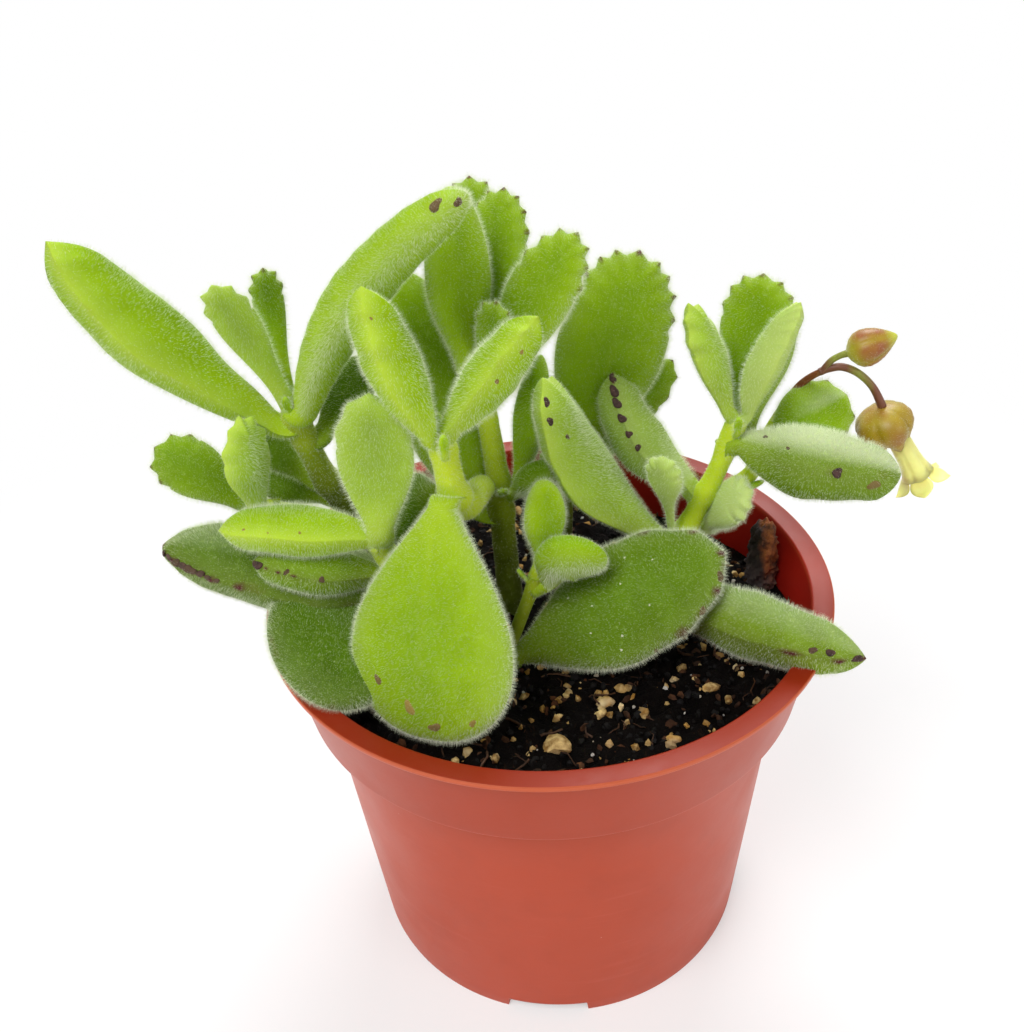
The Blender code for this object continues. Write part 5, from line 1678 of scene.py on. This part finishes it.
class COTYLEDON_OT_fuzz(bpy.types.Operator):
    """Covers the leaves and stems with short white hairs, stem by stem"""

    bl_idname = "cotyledon.fuzz"
    bl_label = "Fuzz"

    def execute(self, context):
        fuzz = context.scene.cotyledon_fuzz
        tree = fuzz_tree()
        paint = hair_material("leaf_hair", fuzz.tint)
        density = fuzz.density * 1e6 * 1.0
        for seed, stem in enumerate(STEMS):
            names = [f"{stem}_skin"]
            names += [f"{name}_blade" for name, row in LEAVES.items() if row[0] == stem]
            names += [name for name, row in SPROUTS.items() if row[0] == stem]
            if stem == "flower_stem":
                names += ["bud_sepals", "calyx_sepals"]
            for part, first in enumerate(range(0, len(names), 4)):
                source = joined("skins", [bpy.data.objects[name].data for name in names[first:first + 4]])
                values = {
                    "Density": density, "Length": fuzz.hair_length, "Width": fuzz.hair_width,
                    "Tilt": fuzz.tilt, "Seed": 7 * seed + part + 1, "Material": paint,
                }
                finish_piece(grown(f"{stem}_fuzz_{part + 1}", source, tree, values))
                bpy.data.objects.remove(source)
        return {"FINISHED"}


# ---------------------------------------------------------------- stage
LAMP_SIZE = 0.45
FLOOR_REACH = 1.6
CAMERA_PAN, CAMERA_TILT, CAMERA_ROLL = -2.0, 33.69, -3.546


def area_light(name, place, target_height, power):
    data = bpy.data.lights.new(name, "AREA")
    data.shape, data.size, data.energy = "DISK", LAMP_SIZE, power
    lamp = bpy.data.objects.new(name, data)
    bpy.context.scene.collection.objects.link(lamp)
    lamp.location = place
    lamp.rotation_euler = (Vector((0, 0, target_height)) - Vector(place)).to_track_quat("-Z", "Y").to_euler()


class COTYLEDON_OT_stage(bpy.types.Operator):
    """Makes the pale floor, the soft studio light and the camera"""

    bl_idname = "cotyledon.stage"
    bl_label = "Stage"

    def execute(self, context):
        scene, stage = context.scene, context.scene.cotyledon_stage
        scene.view_settings.view_transform = "Standard"
        plane = bpy.data.meshes.new("floor")
        corners = [(FLOOR_REACH * x, FLOOR_REACH * y, 0) for x, y in ((-1, -1), (1, -1), (1, 1), (-1, 1))]
        plane.from_pydata(corners, [], [(0, 1, 2, 3)])
        made, graph, shader = new_material("pale_floor", 0.9, Specular_IOR_Level=0.0)
        shade = np.array(stage.floor)
        ground = graph.mottled(shade, shade * 0.985, 6.0, 0.3)
        graph.link(ground["Colour"], shader.inputs["Base Color"])
        seen = graph.add("ShaderNodeLightPath", out="Is Camera Ray")
        away = graph.add("ShaderNodeVectorMath", {0: graph.place()}, out="Value", operation="LENGTH")
        shine = graph.times(seen, graph.span(away, 0.06, 0.22, 0.45, 1.0))
        glow = graph.add("ShaderNodeEmission", {"Color": (1, 1, 1, 1), "Strength": 1.0})
        both = graph.add("ShaderNodeMixShader", {0: shine, 1: shader.outputs[0], 2: glow})
        graph.link(both, made.node_tree.nodes["Material Output"].inputs["Surface"])
        floor = bpy.data.objects.new("floor", plane)
        plane.materials.append(made)
        scene.collection.objects.link(floor)

        world = bpy.data.worlds.new("studio")
        scene.world = world
        world.use_nodes = True
        sky = Graph(world.node_tree)
        back = world.node_tree.nodes["Background"]
        rays = world.node_tree.nodes.new("ShaderNodeLightPath")
        seen = sky.math("MAXIMUM", rays.outputs["Is Camera Ray"], rays.outputs["Is Glossy Ray"])
        seen = sky.math("MAXIMUM", seen, rays.outputs["Is Transmission Ray"])
        sky.link(sky.span(seen, 0.0, 1.0, 0.28, 1.0), back.inputs["Strength"])
        back.inputs["Color"].default_value = (1, 1, 1, 1)

        area_light("key", (-0.30, -0.40, 0.75), 0.07, 4.4)
        area_light("fill", (0.55, -0.45, 0.40), 0.07, 1.2)
        area_light("back", (0.10, 0.50, 0.70), 0.08, 4.5)

        data = bpy.data.cameras.new("camera")
        data.lens = stage.lens
        data.sensor_width = 36.0
        data.clip_start = 0.005
        camera = bpy.data.objects.new("camera", data)
        scene.collection.objects.link(camera)
        pan, tilt, roll = (math.radians(angle) for angle in (CAMERA_PAN, CAMERA_TILT, CAMERA_ROLL))
        forward = Vector((math.sin(pan) * math.cos(tilt), math.cos(pan) * math.cos(tilt), -math.sin(tilt)))
        right = forward.cross(Vector((0, 0, 1))).normalized()
        up = right.cross(forward)
        turned = Matrix.Rotation(-roll, 3, forward)
        right, up = turned @ right, turned @ up
        place = Matrix((right, up, -forward)).transposed().to_4x4()
        place.translation = (0, -stage.camera_distance, stage.camera_height)
        camera.matrix_world = place
        scene.camera = camera
        return {"FINISHED"}


# ---------------------------------------------------------------- panel and registration
OPERATORS = (
    COTYLEDON_OT_stage, COTYLEDON_OT_pot, COTYLEDON_OT_soil, COTYLEDON_OT_grit, COTYLEDON_OT_stems,
    COTYLEDON_OT_leaves, COTYLEDON_OT_scars, COTYLEDON_OT_flower, COTYLEDON_OT_stub, COTYLEDON_OT_fuzz,
)


class COTYLEDON_PT_pieces(bpy.types.Panel):
    """Lists the pieces and their sizes and colours"""

    bl_idname = "COTYLEDON_PT_pieces"
    bl_label = "Potted cotyledon"
    bl_space_type = "VIEW_3D"
    bl_region_type = "UI"
    bl_category = "Cotyledon"

    def draw(self, context):
        for operator in OPERATORS:
            self.layout.operator(operator.bl_idname)
        for title, kind in SETTINGS.items():
            settings = getattr(context.scene, title)
            box = self.layout.box()
            for name in kind.__annotations__:
                box.prop(settings, name)


def register():
    for title, kind in SETTINGS.items():
        bpy.utils.register_class(kind)
        setattr(bpy.types.Scene, title, bpy.props.PointerProperty(type=kind))
    for operator in OPERATORS:
        bpy.utils.register_class(operator)
    bpy.utils.register_class(COTYLEDON_PT_pieces)


def unregister():
    bpy.utils.unregister_class(COTYLEDON_PT_pieces)
    for operator in reversed(OPERATORS):
        bpy.utils.unregister_class(operator)
    for title, kind in SETTINGS.items():
        delattr(bpy.types.Scene, title)
        bpy.utils.unregister_class(kind)


def main():
    register()
    make_shared_groups()
    bpy.ops.cotyledon.stage()
    bpy.ops.cotyledon.pot()
    bpy.ops.cotyledon.soil()
    bpy.ops.cotyledon.grit()
    bpy.ops.cotyledon.stems()
    bpy.ops.cotyledon.leaves()
    bpy.ops.cotyledon.scars()
    bpy.ops.cotyledon.flower()
    bpy.ops.cotyledon.stub()
    bpy.ops.cotyledon.fuzz()


if __name__ == "__main__":
    main()
